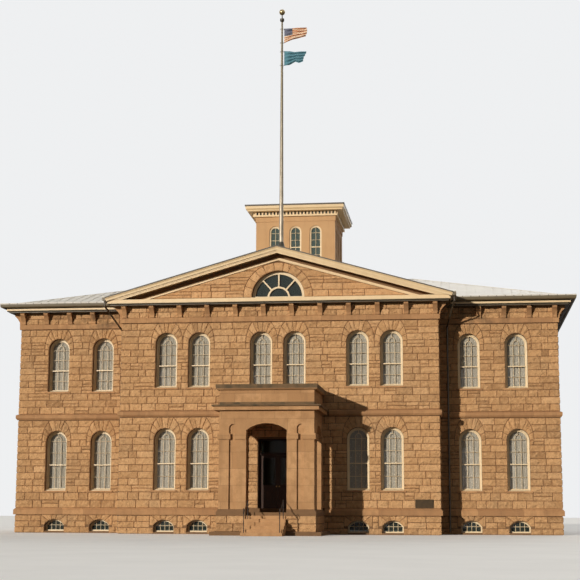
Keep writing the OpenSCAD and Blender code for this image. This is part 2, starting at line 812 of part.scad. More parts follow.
module floor_slab(top) translate([0, 0, top - floor_t]) linear_extrude(floor_t) polygon(plan(-wall_t));
module ground_floor() color("burlywood") at_origin() floor_slab(floor_z);
module second_floor() color("burlywood") at_origin() floor_slab(second_floor_z);
module attic_floor() color("burlywood") at_origin() floor_slab(attic_floor_z);

// Windows

meeting_hs = [lower_meeting_h, upper_meeting_h];
module sash_frame(s) {
  meeting_z = sills[s] + meeting_hs[s];
  slab_at(reveal, frame_t) {
    difference() {
      window_outline(s);
      window_outline(s, frame_w, frame_w);
    }
    translate([frame_w / 2 - window_w / 2, meeting_z - meeting_rail_w / 2])
      square([window_w - frame_w, meeting_rail_w]);
  }
}
module basement_frame() {
  slab_at(reveal, frame_t) difference() {
    basement_outline();
    basement_outline(frame_w);
  }
}
module cupola_frame() {
  slab_at(cupola_reveal, cupola_frame_t) difference() {
    cupola_outline();
    cupola_outline(cupola_frame_w);
  }
}
module window_frames() color(cream) at_origin() {
  for (f = faces) {
    for (s = [0, 1]) for (x = f[3 + s]) on_face(f) translate([x, 0, 0]) sash_frame(s);
    for (x = f[5]) on_face(f) translate([x, 0, 0]) basement_frame();
  }
  for (i = [0:3]) cupola_face(i) for (x = cupola_xs) translate([x, 0, 0]) cupola_frame();
}

glass_edge = 20;
// Outline of the pane over the doors
module transom_light() translate([jamb_w - doorway_w / 2, transom_z + transom_h])
  square([doorway_w - 2 * jamb_w, doorway_z - jamb_w - transom_z - transom_h]);
module window_glass() color(glass) at_origin() {
  for (f = faces) {
    for (s = [0, 1]) for (x = f[3 + s]) on_face(f) translate([x, 0, 0])
      slab_at(reveal + frame_t, glass_t) window_outline(s, glass_edge, glass_edge);
    for (x = f[5])
      on_face(f) translate([x, 0, 0]) slab_at(reveal + frame_t, glass_t) basement_outline(glass_edge);
  }
  for (i = [0:3]) cupola_face(i) for (x = cupola_xs) translate([x, 0, 0])
    slab_at(cupola_reveal + cupola_frame_t, glass_t) cupola_outline(glass_edge);
  both_ends() slab_at(reveal + frame_t, glass_t) lunette_disc(lunette_r - glass_edge, glass_edge);
  slab_at(door_y - leaf_t, glass_t) transom_light();
}

module window_curtains() color("white") at_origin() {
  for (f = faces) for (s = [0, 1]) for (x = f[3 + s]) on_face(f) translate([x, 0, 0])
    slab_at(reveal + frame_t + glass_t + curtain_gap, curtain_t) window_outline(s);
}

// Half disc that stands on the lunette's sill, raised by a base
module lunette_disc(r, base = 0) {
  intersection() {
    translate([0, lunette_z]) circle(r);
    translate([-r, lunette_z + base]) square([2 * r, r]);
  }
}
module lunette_ring(r, w) difference() {
  lunette_disc(r);
  translate([0, lunette_z]) circle(r - w);
}
module lunette_frames() color(cream) at_origin() both_ends() {
  hub_r = lunette_r * 0.43;
  slab_at(reveal, frame_t) {
    lunette_ring(lunette_r, lunette_frame_w);
    lunette_ring(hub_r, lunette_hub_w);
    intersection() {
      lunette_disc(lunette_r - glass_edge);
      union() {
        translate([-lunette_r, lunette_z]) square([2 * lunette_r, frame_w]);
        for (a = [48, 90, 132]) translate([0, lunette_z]) rotate(a)
          translate([hub_r - glass_edge, -lunette_spoke_w / 2]) square([lunette_r, lunette_spoke_w]);
      }
    }
  }
}

// Portico

portico_base_p = 95;
portico_cornice_p = 320;
module portico_block(moulding) {
  intersection() {
    moulded_block(half_portico, -portico_d, 0, moulding);
    translate([-far, -far, 0]) cube([2 * far, far, far]);
  }
}
module portico_podium() color(stone) at_origin() {
  kerb_p = 350;
  kerb_h = 170;
  difference() {
    portico_block([[kerb_p, 0], [kerb_p, kerb_h], [60, kerb_h], [60, plinth_top_z],
      [portico_base_p, plinth_top_z], [portico_base_p, base_top_z - 130],
      [30, base_top_z - 20], [0, base_top_z]]);
    // Porch floor, and the way up to it between the piers
    translate([portico_wall_t - half_portico, portico_wall_t - portico_d, porch_floor_z])
      cube([portico_w - 2 * portico_wall_t, portico_d, far]);
    translate([-half_archway, -far, porch_floor_z]) cube([archway_w, far, far]);
    translate([-half_archway, -far, -1]) cube([archway_w, far - portico_d + tread, far]);
  }
  // Sill of the doorway, as deep as the wall
  translate([-doorway_w / 2, -1, 0]) cube([doorway_w, wall_t + 1, floor_z]);
}
// The lowest step is the first; each is a block of its own
module portico_steps() color(smooth_stone) at_origin() {
  for (i = [1:step_count])
    translate([step_clearance - half_archway, step_front_y + (i - 1) * tread, 0])
      cube([archway_w - 2 * step_clearance, tread - step_joint, i * riser]);
}
module archway_outline(w, low) segment_headed(w, low, archway_z, archway_rise);
module slot_outline() {
  translate([half_archway + inner_pier_w + slot_w / 2, 0])
    round_headed(slot_w, base_top_z - 200, archway_z - 40);
}
module cap_block(x0, x1, y0, y1) {
  translate([x0, y0, cap_z]) cube([x1 - x0, y1 - y0, cap_h]);
}
module portico_piers() color(smooth_stone) at_origin() both_sides() {
  difference() {
    slab_at(-portico_d, portico_wall_t) translate([half_archway, base_top_z])
      square([half_portico - half_archway, portico_top_z - base_top_z]);
    slab_at(-portico_d - 1, slot_d + 1) slot_outline();
  }
  // Caps of the two piers on each side
  inner_x = half_archway + inner_pier_w;
  cap_block(half_archway, inner_x + cap_p, -portico_d - cap_p, -portico_d + slot_d);
  cap_block(inner_x + slot_w - cap_p, half_portico + cap_p, -portico_d - cap_p, -portico_d + slot_d);
  cap_block(half_portico - 1, half_portico + cap_p, -portico_d, -portico_d + portico_wall_t);
}
module portico_arch() color(smooth_stone) at_origin() {
  slab_at(-portico_d, portico_wall_t) difference() {
    translate([-half_archway, archway_z - archway_rise])
      square([archway_w, portico_top_z - archway_z + archway_rise]);
    archway_outline(archway_w, 0);
  }
}
module portico_side_walls() color(smooth_stone) at_origin() both_sides() {
  l = portico_d - portico_wall_t;
  translate([0, -l / 2, 0]) slab_along(half_portico - portico_wall_t, portico_wall_t) difference() {
    translate([-l / 2, base_top_z]) square([l, portico_top_z - base_top_z]);
    archway_outline(side_archway_w, base_top_z);
  }
  // Cap of the rear pier
  rear_pier = (l - side_archway_w) / 2;
  cap_block(half_portico - 1, half_portico + cap_p, -rear_pier, 0);
  cap_block(half_portico - 1, half_portico + cap_p, -l, -l + rear_pier);
}
module portico_cornice() color(smooth_stone) at_origin() {
  z = portico_top_z;
  h = portico_cornice_h;
  corona_p = portico_cornice_p - 85;
  portico_block(concat([[50, z], [50, z + h * 0.1], [corona_p, z + h * 0.1], [corona_p, z + h * 0.66]],
    arc(portico_cornice_p - h * 0.1, z + h * 0.82, h * 0.1, -90, 0, 4),
    [[portico_cornice_p, z + h * 0.94], [portico_cornice_p - 40, z + h]]));
}
module portico_parapet() color(smooth_stone) at_origin() {
  difference() {
    union() {
      portico_block([[0, deck_z], [0, parapet_z]]);
      portico_block([[0, parapet_z - 1], [coping_p - 60, parapet_z], [coping_p, parapet_z + 50],
        [coping_p, parapet_z + coping_h - 50], [coping_p - 60, parapet_z + coping_h]]);
    }
    translate([parapet_t - half_portico, parapet_t - portico_d, 0])
      cube([portico_w - 2 * parapet_t, portico_d, far]);
  }
}
module handrails() color("dimgray") at_origin() both_sides() {
  x = half_archway - 6.5 * rail_r;
  low_y = step_front_y + tread / 2;
  high_y = -portico_d - tread / 2;
  high_z = (step_count - 1) * riser;
  low = [x, low_y, riser + rail_h];
  high = [x, high_y, high_z + rail_h];
  loop_r = 100;
  bar([x, low_y, riser], low, rail_r);
  bar([x, high_y, high_z], high, rail_r);
  bar(low, high, rail_r);
  // Balls cover the joints, and a loop stands on the foot of the rail
  for (end = [low, high]) translate(end) sphere(rail_r * 1.4);
  translate(low + [0, 0, loop_r + rail_r]) rotate([0, 90, 0])
    rotate_extrude() translate([loop_r, 0]) circle(rail_r * 0.6, $fn = 16);
}

// Entrance

module door_frame() color(brown) at_origin() {
  depth = leaf_t + 90;
  slab_at(door_y - depth, depth) difference() {
    translate([-doorway_w / 2, floor_z]) square([doorway_w, doorway_z - floor_z]);
    translate([jamb_w - doorway_w / 2, floor_z - 1])
      square([doorway_w - 2 * jamb_w, transom_z - floor_z + 1]);
    transom_light();
  }
  frame_hinges();
}
hinge_zs = [leaf_z + 250, leaf_z + leaf_h / 2, leaf_z + leaf_h - 300];
// The frame carries the knuckle under each of the leaf's knuckles
module frame_hinges() both_sides() for (z = hinge_zs) {
  translate([hinge_x, hinge_y, z - knuckle_h - knuckle_gap]) cylinder(knuckle_h, knuckle_r, knuckle_r);
  translate([hinge_x + leaf_gap / 2, door_y - 1, z - knuckle_h - knuckle_gap])
    cube([knuckle_r, hinge_out + 1, knuckle_h]);
}
// The right-hand leaf; its stiles and rails hold a tall pane over a panel
module leaf() {
  x0 = meeting_gap / 2;
  slab_at(door_y - leaf_t, leaf_t) difference() {
    translate([x0, leaf_z]) square([leaf_w, leaf_h]);
    translate([x0 + stile_w, glass_low_z]) square([leaf_w - 2 * stile_w, glass_high_z - glass_low_z]);
  }
}
panel_y = door_y - leaf_t;
module leaf_with_panel() {
  x0 = meeting_gap / 2 + stile_w;
  panel_z = leaf_z + 220;
  difference() {
    leaf();
    // Sunk panel with a raised field, on both faces
    for (y = [panel_y - 1, door_y - 14])
      translate([x0, y, panel_z]) cube([leaf_w - 2 * stile_w, 15, lock_rail_z - 90 - panel_z]);
  }
  translate([x0 + 60, panel_y + 4, panel_z + 60])
    cube([leaf_w - 2 * stile_w - 120, leaf_t - 8, lock_rail_z - 210 - panel_z]);
}
module leaf_glass() slab_at(door_y - leaf_t / 2 - glass_t / 2, glass_t)
  translate([meeting_gap / 2 + stile_w, glass_low_z])
    square([leaf_w - 2 * stile_w, glass_high_z - glass_low_z]);
module leaf_fittings() {
  for (z = hinge_zs) {
    translate([hinge_x, hinge_y, z]) cylinder(knuckle_h, knuckle_r, knuckle_r);
    translate([hinge_x - leaf_gap / 2 - knuckle_r, door_y, z]) cube([knuckle_r, hinge_out, knuckle_h]);
  }
  // Knob and rose on the outside, thumb turn inside
  x = meeting_gap / 2 + stile_w / 2;
  translate([x, panel_y, lock_rail_z]) rotate([90, 0, 0]) {
    cylinder(8, 34, 34);
    cylinder(45, 11, 11);
    translate([0, 0, 58]) sphere(28);
  }
  translate([x, door_y, lock_rail_z]) rotate([-90, 0, 0]) {
    cylinder(8, 34, 34);
    cylinder(40, 11, 11);
    translate([0, 0, 50]) sphere(26);
  }
}
module left_door() color(brown) at_origin() mirror([1, 0, 0]) leaf_with_panel();
module right_door() color(brown) at_origin() leaf_with_panel();
module left_door_glass() color(glass) at_origin() mirror([1, 0, 0]) leaf_glass();
module right_door_glass() color(glass) at_origin() leaf_glass();
module left_door_fittings() color("goldenrod") at_origin() mirror([1, 0, 0]) leaf_fittings();
module right_door_fittings() color("goldenrod") at_origin() leaf_fittings();

// Flagpole and flags

ridge_z = roof_edge_z + gable_slope * (half_p + roof_p);
module flagpole() color("silver") at_origin() {
  base = 480;
  foot_z = ridge_z + 90;
  difference() {
    translate([-base / 2, pole_y - base / 2, ridge_z - base / 2 * gable_slope - 20])
      cube([base, base, foot_z - ridge_z + base / 2 * gable_slope + 20]);
    gable_solid(0, 0);
  }
  truck_z = pole_z - 320;
  collar_h = 280;
  translate([0, pole_y, foot_z]) {
    translate([0, 0, -20]) cylinder(80, 200, 200);
    translate([0, 0, 60]) cylinder(collar_h - 60, 190, pole_foot_r);
    translate([0, 0, collar_h]) cylinder(truck_z - foot_z - collar_h, pole_foot_r, pole_top_r);
  }
  // Truck that carries the pulleys, near the top, and the ball's spindle
  translate([0, pole_y, truck_z]) {
    cylinder(110, 110, 110);
    translate([0, 0, -60]) cylinder(60, 60, 110);
    cylinder(pole_z - truck_z, spindle_r, spindle_r);
  }
}
// The ball sits on the spindle's flat end
module flagpole_ball() color("gold") at_origin() translate([0, pole_y, pole_z]) difference() {
  translate([0, 0, sqrt(ball_r * ball_r - spindle_r * spindle_r)]) sphere(ball_r);
  translate([0, 0, -ball_r]) cylinder(ball_r, ball_r, ball_r);
}

// Space of a drooping flag: its free end hangs back towards the pole
module flag_space(top, foot_back) {
  snap_reach = 60;
  hoist_x = pole_top_r + snap_reach;
  slab_at(pole_y - flag_t / 2, flag_t)
    polygon([[hoist_x, top], [hoist_x + flag_l, top - 90], [hoist_x + flag_l - foot_back, top - flag_h + 190],
      [hoist_x + flag_l * 0.5, top - flag_h + 120], [hoist_x, top - flag_h]]);
  // Snap hooks and rings that hold the flag to the pole
  for (z = [top - 60, top - flag_h + 40]) translate([0, pole_y, z]) {
    difference() {
      cylinder(20, hoist_x + 20, hoist_x + 20);
      translate([0, 0, -1]) cylinder(22, hoist_x, hoist_x);
    }
  }
}
module upper_flag() color("indianred") at_origin() flag_space(upper_flag_z, 90);
module lower_flag() color("steelblue") at_origin() flag_space(lower_flag_z, 150);

module plaque() color("saddlebrown") at_origin()
  translate([plaque_x, -plaque_t, plaque_z]) cube([plaque_l, plaque_t, plaque_h]);

front_wall_left();
front_wall_right();
front_wall_upper();
gable_walls();
pavilion_return_walls();
wing_front_walls();
wing_rear_walls();
side_wall_left();
side_wall_right();
rear_wall();
water_table();
belt_course();
frieze_band();
window_sills();
eave_brackets();
eave_cornice();
raking_cornices();
gutters();
downspouts();
gable_roof_front();
gable_roof_rear();
hip_roof_left();
hip_roof_right();
cupola_walls();
cupola_cornice();
cupola_roof();
ground_floor();
second_floor();
attic_floor();
window_frames();
window_glass();
window_curtains();
lunette_frames();
portico_podium();
portico_steps();
portico_piers();
portico_arch();
portico_side_walls();
portico_cornice();
portico_parapet();
handrails();
door_frame();
left_door();
left_door_glass();
left_door_fittings();
right_door();
right_door_glass();
right_door_fittings();
flagpole();
flagpole_ball();
upper_flag();
lower_flag();
plaque();
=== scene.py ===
import json
import math

import bpy
import numpy as np
from mathutils import Matrix, Vector


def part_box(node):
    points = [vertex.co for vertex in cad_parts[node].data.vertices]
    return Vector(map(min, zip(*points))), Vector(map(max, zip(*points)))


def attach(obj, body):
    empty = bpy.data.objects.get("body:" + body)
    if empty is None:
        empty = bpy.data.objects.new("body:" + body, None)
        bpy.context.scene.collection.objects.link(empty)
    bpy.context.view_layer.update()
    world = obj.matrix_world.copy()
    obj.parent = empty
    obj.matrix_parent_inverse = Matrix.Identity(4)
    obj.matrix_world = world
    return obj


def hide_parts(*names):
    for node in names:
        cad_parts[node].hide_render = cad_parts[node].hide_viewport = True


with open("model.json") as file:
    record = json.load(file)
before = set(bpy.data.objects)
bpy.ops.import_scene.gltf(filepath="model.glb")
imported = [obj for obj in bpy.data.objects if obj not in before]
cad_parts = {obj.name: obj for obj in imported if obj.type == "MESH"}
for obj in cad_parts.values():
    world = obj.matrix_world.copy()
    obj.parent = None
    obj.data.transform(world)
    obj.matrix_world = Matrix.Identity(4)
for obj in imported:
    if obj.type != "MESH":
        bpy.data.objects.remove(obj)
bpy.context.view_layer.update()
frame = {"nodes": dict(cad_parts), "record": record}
nodes = frame["nodes"]
rng = np.random.default_rng(7)
boxes = {name: np.array(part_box(name)) for name in nodes}  # lowest and highest corner of each node

# Faces and levels of the building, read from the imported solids
halfWing = boxes["side_wall_right"][1][0]
halfPavilion = boxes["front_wall_right"][1][0]
halfPortico = boxes["portico_cornice"][1][0] - 0.32  # to the sides of the body under it
porticoY = boxes["portico_arch"][0][1]
frontY = boxes["front_wall_left"][0][1]
rearY = boxes["rear_wall"][1][1]
wingY = boxes["wing_front_walls"][0][1]
wingRearY = boxes["wing_rear_walls"][1][1]
midY = (frontY + rearY) / 2
waterTable = boxes["water_table"][:, 2]
belt = boxes["belt_course"][:, 2]
frieze = boxes["frieze_band"][:, 2]
eaveZ, roofBaseZ = boxes["eave_cornice"][:, 2]
gableEdgeX, ridgeZ = boxes["gable_roof_front"][1][0], boxes["gable_roof_front"][1][2]
gableY, roofEdgeZ = boxes["gable_roof_front"][0][1], roofBaseZ + 0.1
gableSlope = (ridgeZ - roofEdgeZ) / gableEdgeX
sillFootZ, upperSillZ = boxes["window_sills"][:, 2]
poleX, poleY = boxes["flagpole"][:, 0].mean(), boxes["flagpole"][:, 1].mean()
poleTop = boxes["flagpole"][1][2]
print("frame read:", len(nodes), "nodes")


# Camera

cameraView = {
    "place": (9.017, -72.618, 1.052), "lens": 83.99, "sensor": 36.0, "clip": (0.5, 600),
    "yaw": 0.1274, "pitch": 0.1629, "roll": 0.0032,  # radians: to the left, up, and clockwise
}


def addObject(name, data):
    # An object that shows the data, linked to the scene
    made = bpy.data.objects.new(name, data)
    bpy.context.scene.collection.objects.link(made)
    return made


def makeCamera(view):
    # Turned by the yaw about the upright, raised by the pitch, then rolled about its own line of sight
    lens = bpy.data.cameras.new("frontCamera")
    lens.lens, lens.sensor_width = view["lens"], view["sensor"]
    lens.clip_start, lens.clip_end = view["clip"]
    camera = addObject("frontCamera", lens)
    aim = Matrix.Rotation(view["yaw"], 4, "Z") @ Matrix.Rotation(math.pi / 2 + view["pitch"], 4, "X")
    camera.matrix_world = Matrix.Translation(view["place"]) @ aim @ Matrix.Rotation(view["roll"], 4, "Z")
    bpy.context.scene.camera = camera


makeCamera(cameraView)
print("camera made")


# Node tools for the materials

def paint(red, green, blue):
    # A colour as it shows on a screen, 0 to 255, turned into linear light
    shown = np.array([red, green, blue]) / 255
    linear = np.where(shown <= 0.04045, shown / 12.92, ((shown + 0.055) / 1.055) ** 2.4)
    return (*linear.tolist(), 1.0)


def feed(socket, value):
    # A value made by nodes is linked to the socket, a plain one is set on it
    if isinstance(value, Value):
        value.tree.links.new(value.socket, socket)
    else:
        socket.default_value = value


def addNode(tree, kind, inputs=(), **settings):
    # A node with its settings made first, then its inputs
    made = tree.nodes.new(kind)
    for name, value in settings.items():
        setattr(made, name, value)
    for key, value in dict(inputs).items():
        feed(made.inputs[key], value)
    return made


def take(tree, kind, output, inputs=(), **settings):
    # One output of a new node
    return Value(tree, addNode(tree, kind, inputs, **settings).outputs[output])


class Value:
    # An output of a node that can be reckoned with like a number: each sign adds a maths node

    def __init__(self, tree, socket):
        self.tree, self.socket = tree, socket

    def maths(self, operation, other=0.0, clamp=False):
        # This value and another one through one maths node
        return take(self.tree, "ShaderNodeMath", 0, {0: self, 1: other}, operation=operation, use_clamp=clamp)

    def __add__(self, other):
        return self.maths("ADD", other)

    def __sub__(self, other):
        return self.maths("SUBTRACT", other)

    def __mul__(self, other):
        return self.maths("MULTIPLY", other)

    def __rtruediv__(self, other):
        return take(self.tree, "ShaderNodeMath", 0, {0: other, 1: self}, operation="DIVIDE")

    def __gt__(self, other):
        return self.maths("GREATER_THAN", other)

    def __lt__(self, other):
        return self.maths("LESS_THAN", other)

    def stretch(self, low, high, toLow=0.0, toHigh=1.0):
        # The span from low to high carried over to the span from toLow to toHigh, and held there
        return take(self.tree, "ShaderNodeMapRange", 0, {0: self, 1: low, 2: high, 3: toLow, 4: toHigh})

    def mix(self, first, second):
        # The colour that lies this share of the way from the first to the second
        return take(self.tree, "ShaderNodeMix", 2, {0: self, 6: first, 7: second}, data_type="RGBA")

    def scaled(self, factors):
        # Places with x, y and z each times their own factor
        return take(self.tree, "ShaderNodeVectorMath", 0, {0: self, 1: factors}, operation="MULTIPLY")

    def noise(self, scale, detail=4.0, roughness=0.55):
        # Soft noise at these places, so many times to the metre
        return take(self.tree, "ShaderNodeTexNoise", 0, {
            "Vector": self, "Scale": scale, "Detail": detail, "Roughness": roughness})

    def parts(self):
        # x, y and z of a place
        outputs = addNode(self.tree, "ShaderNodeSeparateXYZ", {0: self}).outputs
        return [Value(self.tree, output) for output in outputs]


def cover(colour, layers):
    # Each layer, a share and a colour, is mixed over the colour before it
    for share, over in layers:
        colour = share.mix(colour, over)
    return colour


def newGroup(name, ins, outs):
    # A shared effect: a place and plain numbers go in, plain numbers come out
    tree = bpy.data.node_groups.new(name, "ShaderNodeTree")
    tree.interface.new_socket("Place", in_out="INPUT", socket_type="NodeSocketVector")
    for labels, way in ((ins, "INPUT"), (outs, "OUTPUT")):
        for label in labels:
            tree.interface.new_socket(label, in_out=way, socket_type="NodeSocketFloat")
    entry, leave = tree.nodes.new("NodeGroupInput").outputs, tree.nodes.new("NodeGroupOutput").inputs
    return tree, [Value(tree, entry[label]) for label in ("Place", *ins)], leave


def useGroup(group, place, **inputs):
    # The outputs of a shared effect at one material's places
    made = addNode(place.tree, "ShaderNodeGroup", {"Place": place, **inputs}, node_tree=group)
    return [Value(place.tree, output) for output in made.outputs]


def setSocket(made, label, value):
    # One input of a material's own shader
    feed(made.node_tree.nodes["Principled BSDF"].inputs[label], value)


def newMaterial(name, **sockets):
    # A material and its places, which are each object's own metres
    made = bpy.data.materials.new(name)
    made.use_nodes = True
    for label, value in sockets.items():
        setSocket(made, label.replace("_", " "), value)
    return made, take(made.node_tree, "ShaderNodeTexCoord", "Object")


def finishShader(made, colour, roughness, height, strength, distance):
    # The surface slopes with the height, whose full span counts as the distance, by the strength
    setSocket(made, "Base Color", colour)
    setSocket(made, "Roughness", roughness)
    relief = {"Height": height, "Strength": strength, "Distance": distance}
    setSocket(made, "Normal", take(made.node_tree, "ShaderNodeBump", "Normal", relief))
    return made


def makeGrain():
    # Fine and broad mottling: two noises of the same place, one twelve times finer
    tree, (place, size), out = newGroup("grain", ["Size"], ["Fine", "Broad"])
    scale = 1.0 / size
    feed(out["Fine"], place.noise(scale * 12.0, 5, 0.65))
    feed(out["Broad"], place.noise(scale, 3))
    return tree


def makeStreaks():
    # Rain streaks: a noise that is drawn out about six times along the height
    tree, (place, width), out = newGroup("rainStreaks", ["Width"], ["Streak"])
    streak = place.scaled((1, 1, 0.16)).noise(1.0 / width, 3, 0.6)
    feed(out["Streak"], streak.stretch(0.48, 0.78))
    return tree


def makeJoints():
    # Joints of cut stone: bricks on the wall's run, which is x plus y, and its height
    tree, (place, length, height, gap), out = newGroup(
        "ashlarJoints", ["Length", "Height", "Gap"], ["Joint", "Stone"])
    x, y, z = place.parts()
    flat = take(tree, "ShaderNodeCombineXYZ", 0, {0: x + y + 40.0, 1: z})
    stones = addNode(tree, "ShaderNodeTexBrick", {
        "Vector": flat, "Color1": (0, 0, 0, 1), "Color2": (1, 1, 1, 1), "Scale": 1.0, "Bias": 0.0,
        "Mortar Size": gap, "Mortar Smooth": 0.2, "Brick Width": length, "Row Height": height}).outputs
    feed(out["Joint"], Value(tree, stones["Fac"]))
    feed(out["Stone"], take(tree, "ShaderNodeSeparateColor", 0, {0: Value(tree, stones[0])}))
    return tree


patchPlace = {"outer": (12.6, 9.6), "inner": (8.4, 8.9), "high": (9.7, 10.7)}  # metres to the side, and up


def makeDamp(where):
    # Dark patches high on the wings, beside the inner corners
    tree, (place,), out = newGroup("darkPatches", [], ["Damp"])
    x, y, z = place.parts()
    side = x.maths("ABSOLUTE")
    near = side.stretch(*where["outer"]) * side.stretch(*where["inner"])
    patch = place.noise(2.6, 5, 0.6).stretch(0.42, 0.62)
    feed(out["Damp"], near * z.stretch(*where["high"]) * patch)
    return tree


grain, streaks, joints, darkPatch = makeGrain(), makeStreaks(), makeJoints(), makeDamp(patchPlace)


# Finishes

rockFinish = {
    "pale": paint(231, 182, 130), "warm": paint(212, 162, 110), "dark": paint(166, 123, 80),
    "grey": paint(180, 147, 108), "darkPatch": paint(84, 66, 44),
    # Colours of the stone behind the blocks, darkened as painted shade for the window reveals; in the joints
    # they also give the mortar's own dark
    "mortarShaded": paint(110, 81, 53), "dressedShaded": paint(140, 103, 67), "hollow": paint(84, 62, 42),
    "roughness": 0.92, "grain": 0.17, "relief": 1.0, "depth": 0.05,
}


def makeRockStone(finish):
    # Sandstone blocks: each block's own tone picks between three browns, then come grain and stains;
    # the relief is both mottlings and a pattern of chips, added by their shares
    made, place = newMaterial("rockStone")
    tone = take(place.tree, "ShaderNodeAttribute", "Fac", attribute_name="tone")
    fine, broad = useGroup(grain, place, Size=finish["grain"])
    colour = cover(tone.stretch(0.0, 0.55).mix(finish["dark"], finish["warm"]), (
        (tone.stretch(0.55, 1.0), finish["pale"]),
        (place.noise(0.55, 4).stretch(0.5, 0.72, 0, 0.5), finish["grey"]),
        (broad.stretch(0.5, 0.72, 0, 0.55), finish["pale"]),
        (broad.stretch(0.28, 0.48, 0.5, 0), finish["dark"]),
        (fine.stretch(0.36, 0.66, 0.25, 0), finish["dark"]),
        (useGroup(streaks, place, Width=0.45)[0] * 0.22, finish["dark"]),
        (useGroup(darkPatch, place)[0] * 0.7, finish["darkPatch"])))
    chips = take(place.tree, "ShaderNodeTexVoronoi", "Distance",
                 {"Vector": place, "Scale": 8.5, "Randomness": 1.0}, distance="CHEBYCHEV")
    height = broad * 1.5 + fine * 0.6 + chips * 0.8
    return finishShader(made, colour, finish["roughness"], height, finish["relief"], finish["depth"])


def makeWallStone(finish):
    # Dressed stone and mortar behind the blocks, in the joints and in the window reveals; their colours are
    # darkened as painted shade for the reveals, which stand in shadow
    made, place = newMaterial("wallStone")
    fine, broad = useGroup(grain, place, Size=0.4)
    colour = fine.stretch(0.3, 0.7, 0.3, 0.0).mix(broad.mix(finish["mortarShaded"], finish["dressedShaded"]),
                                                  finish["hollow"])
    return finishShader(made, colour, finish["roughness"], fine, 0.35, 0.006)


smoothFinish = {
    "face": paint(197, 150, 102), "other": paint(170, 125, 80), "joint": paint(122, 88, 56),
    "stain": paint(126, 92, 62), "worn": paint(74, 60, 38), "darkPatch": paint(84, 66, 44),
    "roughness": 0.85, "block": (1.24, 0.76),  # length and height of one stone
    "streaks": 0.3, "patchShare": 0,  # shares of the rain streaks and of the dark patches
    "weather": (),  # heights between which the tops of the stones turn dark
}
bandFinish = {**smoothFinish, "face": paint(196, 147, 98), "other": paint(164, 119, 77),
              "block": (1.1, 3.0), "streaks": 0.45, "patchShare": 0.75}
copingFinish = {**smoothFinish, "block": (1.24, 0.5), "streaks": 0.4,
                "weather": ((5.855, 5.90), (6.70, 6.74))}
stepFinish = {**smoothFinish, "block": (60.0, 60.0)}


def makeSmoothStone(name, finish):
    # Cut stone with fine joints: each stone's tone lies between two browns, under stains and weather
    made, place = newMaterial(name)
    fine, broad = useGroup(grain, place, Size=0.35)
    length, height = finish["block"]
    joint, stone = useGroup(joints, place, Length=length, Height=height, Gap=0.007)
    colour = cover(stone.mix(finish["face"], finish["other"]), (
        (broad.stretch(0.42, 0.64, 0, 0.75), finish["other"]),
        (fine.stretch(0.3, 0.62, 0.25, 0), finish["stain"]),
        (useGroup(streaks, place, Width=0.3)[0] * finish["streaks"], finish["stain"]),
        (joint * 0.75, finish["joint"])))
    z = place.parts()[2]
    for low, high in finish["weather"]:
        worn = z.stretch(low, high) * (z < high + 0.2) * broad.stretch(0.3, 0.6, 1.0, 0.72)
        colour = worn.mix(colour, finish["worn"])
    if finish["patchShare"]:
        colour = (useGroup(darkPatch, place)[0] * finish["patchShare"]).mix(colour, finish["darkPatch"])
    return finishShader(made, colour, finish["roughness"], fine * 0.5 - joint, 0.45, 0.006)


# Paint and metal: span of the broad mottling over which the second colour comes in, width and share
# of the streaks, spread of the gloss, relief as which mottling, how strong and how deep, and varnish
coats = {
    "paint": {"span": (0.4, 0.75, 0, 0.35), "streakWidth": 0.2, "stain": 0.25, "gloss": (-0.06, 0.1),
              "relief": (0, 0.12, 0.002), "varnish": 0.05},
    "metal": {"span": (0.35, 0.75), "streakWidth": 0.4, "stain": 0.3, "gloss": (-0.07, 0.1),
              "relief": (1, 0.15, 0.01), "varnish": 0.0},
}


def makeCoat(name, kind, face, shade, roughness=0.5, size=0.5, stain=None, marks=None, **sockets):
    # A main colour, a second one where the broad mottling or a streak of dust is strong, and marks
    # laid over both; gloss and relief follow the mottling
    look = coats[kind]
    made, place = newMaterial(name, Coat_Weight=look["varnish"], **sockets)
    mottle = useGroup(grain, place, Size=size)
    share = useGroup(streaks, place, Width=look["streakWidth"])[0] * (stain or look["stain"])
    colour = cover(mottle[1].stretch(*look["span"]).mix(face, shade), [(share, shade)])
    if marks:
        colour = cover(colour, marks(place))
    (low, high), (which, strength, depth) = look["gloss"], look["relief"]
    rough = mottle[0].stretch(0.3, 0.7, roughness + low, roughness + high)
    return finishShader(made, colour, rough, mottle[which], strength, depth)


markWork = {
    "rim": boxes["gutters"][1][2] - 0.05, "rimTone": paint(206, 198, 184),  # foot of the folded metal
    "soffit": eaveZ + 0.09, "soffitShadeTone": paint(80, 68, 46),  # top of the painted shade on the soffit and cove
    "wings": halfPavilion + 0.58, "fillet": eaveZ + 0.18,  # where the painted shade on the fillet behind the gutters starts, beside and up
    "dentils": (17.306, 17.49, 2.275), "dentilShadeTone": paint(52, 42, 28),  # foot, top and half-width of the painted shade behind the dentils
    "flashing": 14.60, "truck": poleTop - 0.4, "endTone": paint(58, 52, 40),  # dark ends of the pole
    "towardsTop": (16.60, 22.60, 0, 0.9), "topTone": paint(108, 96, 70),  # heights and shares of the darker colour towards the top
}


def rimMark(place):
    # The pale metal of the roof is folded over the gutters above a height
    return [(place.parts()[2] > markWork["rim"], markWork["rimTone"])]


def soffitShadeMark(place):
    # Painted shade: a dark colour below a height, on the soffit and cove under the fascia, and over the
    # fillet in the shadow behind the wings' gutters
    x, y, z = place.parts()
    fillet = (x.maths("ABSOLUTE") > markWork["wings"]) * (z > markWork["fillet"])
    return [(fillet.maths("ADD", z < markWork["soffit"], True), markWork["soffitShadeTone"])]


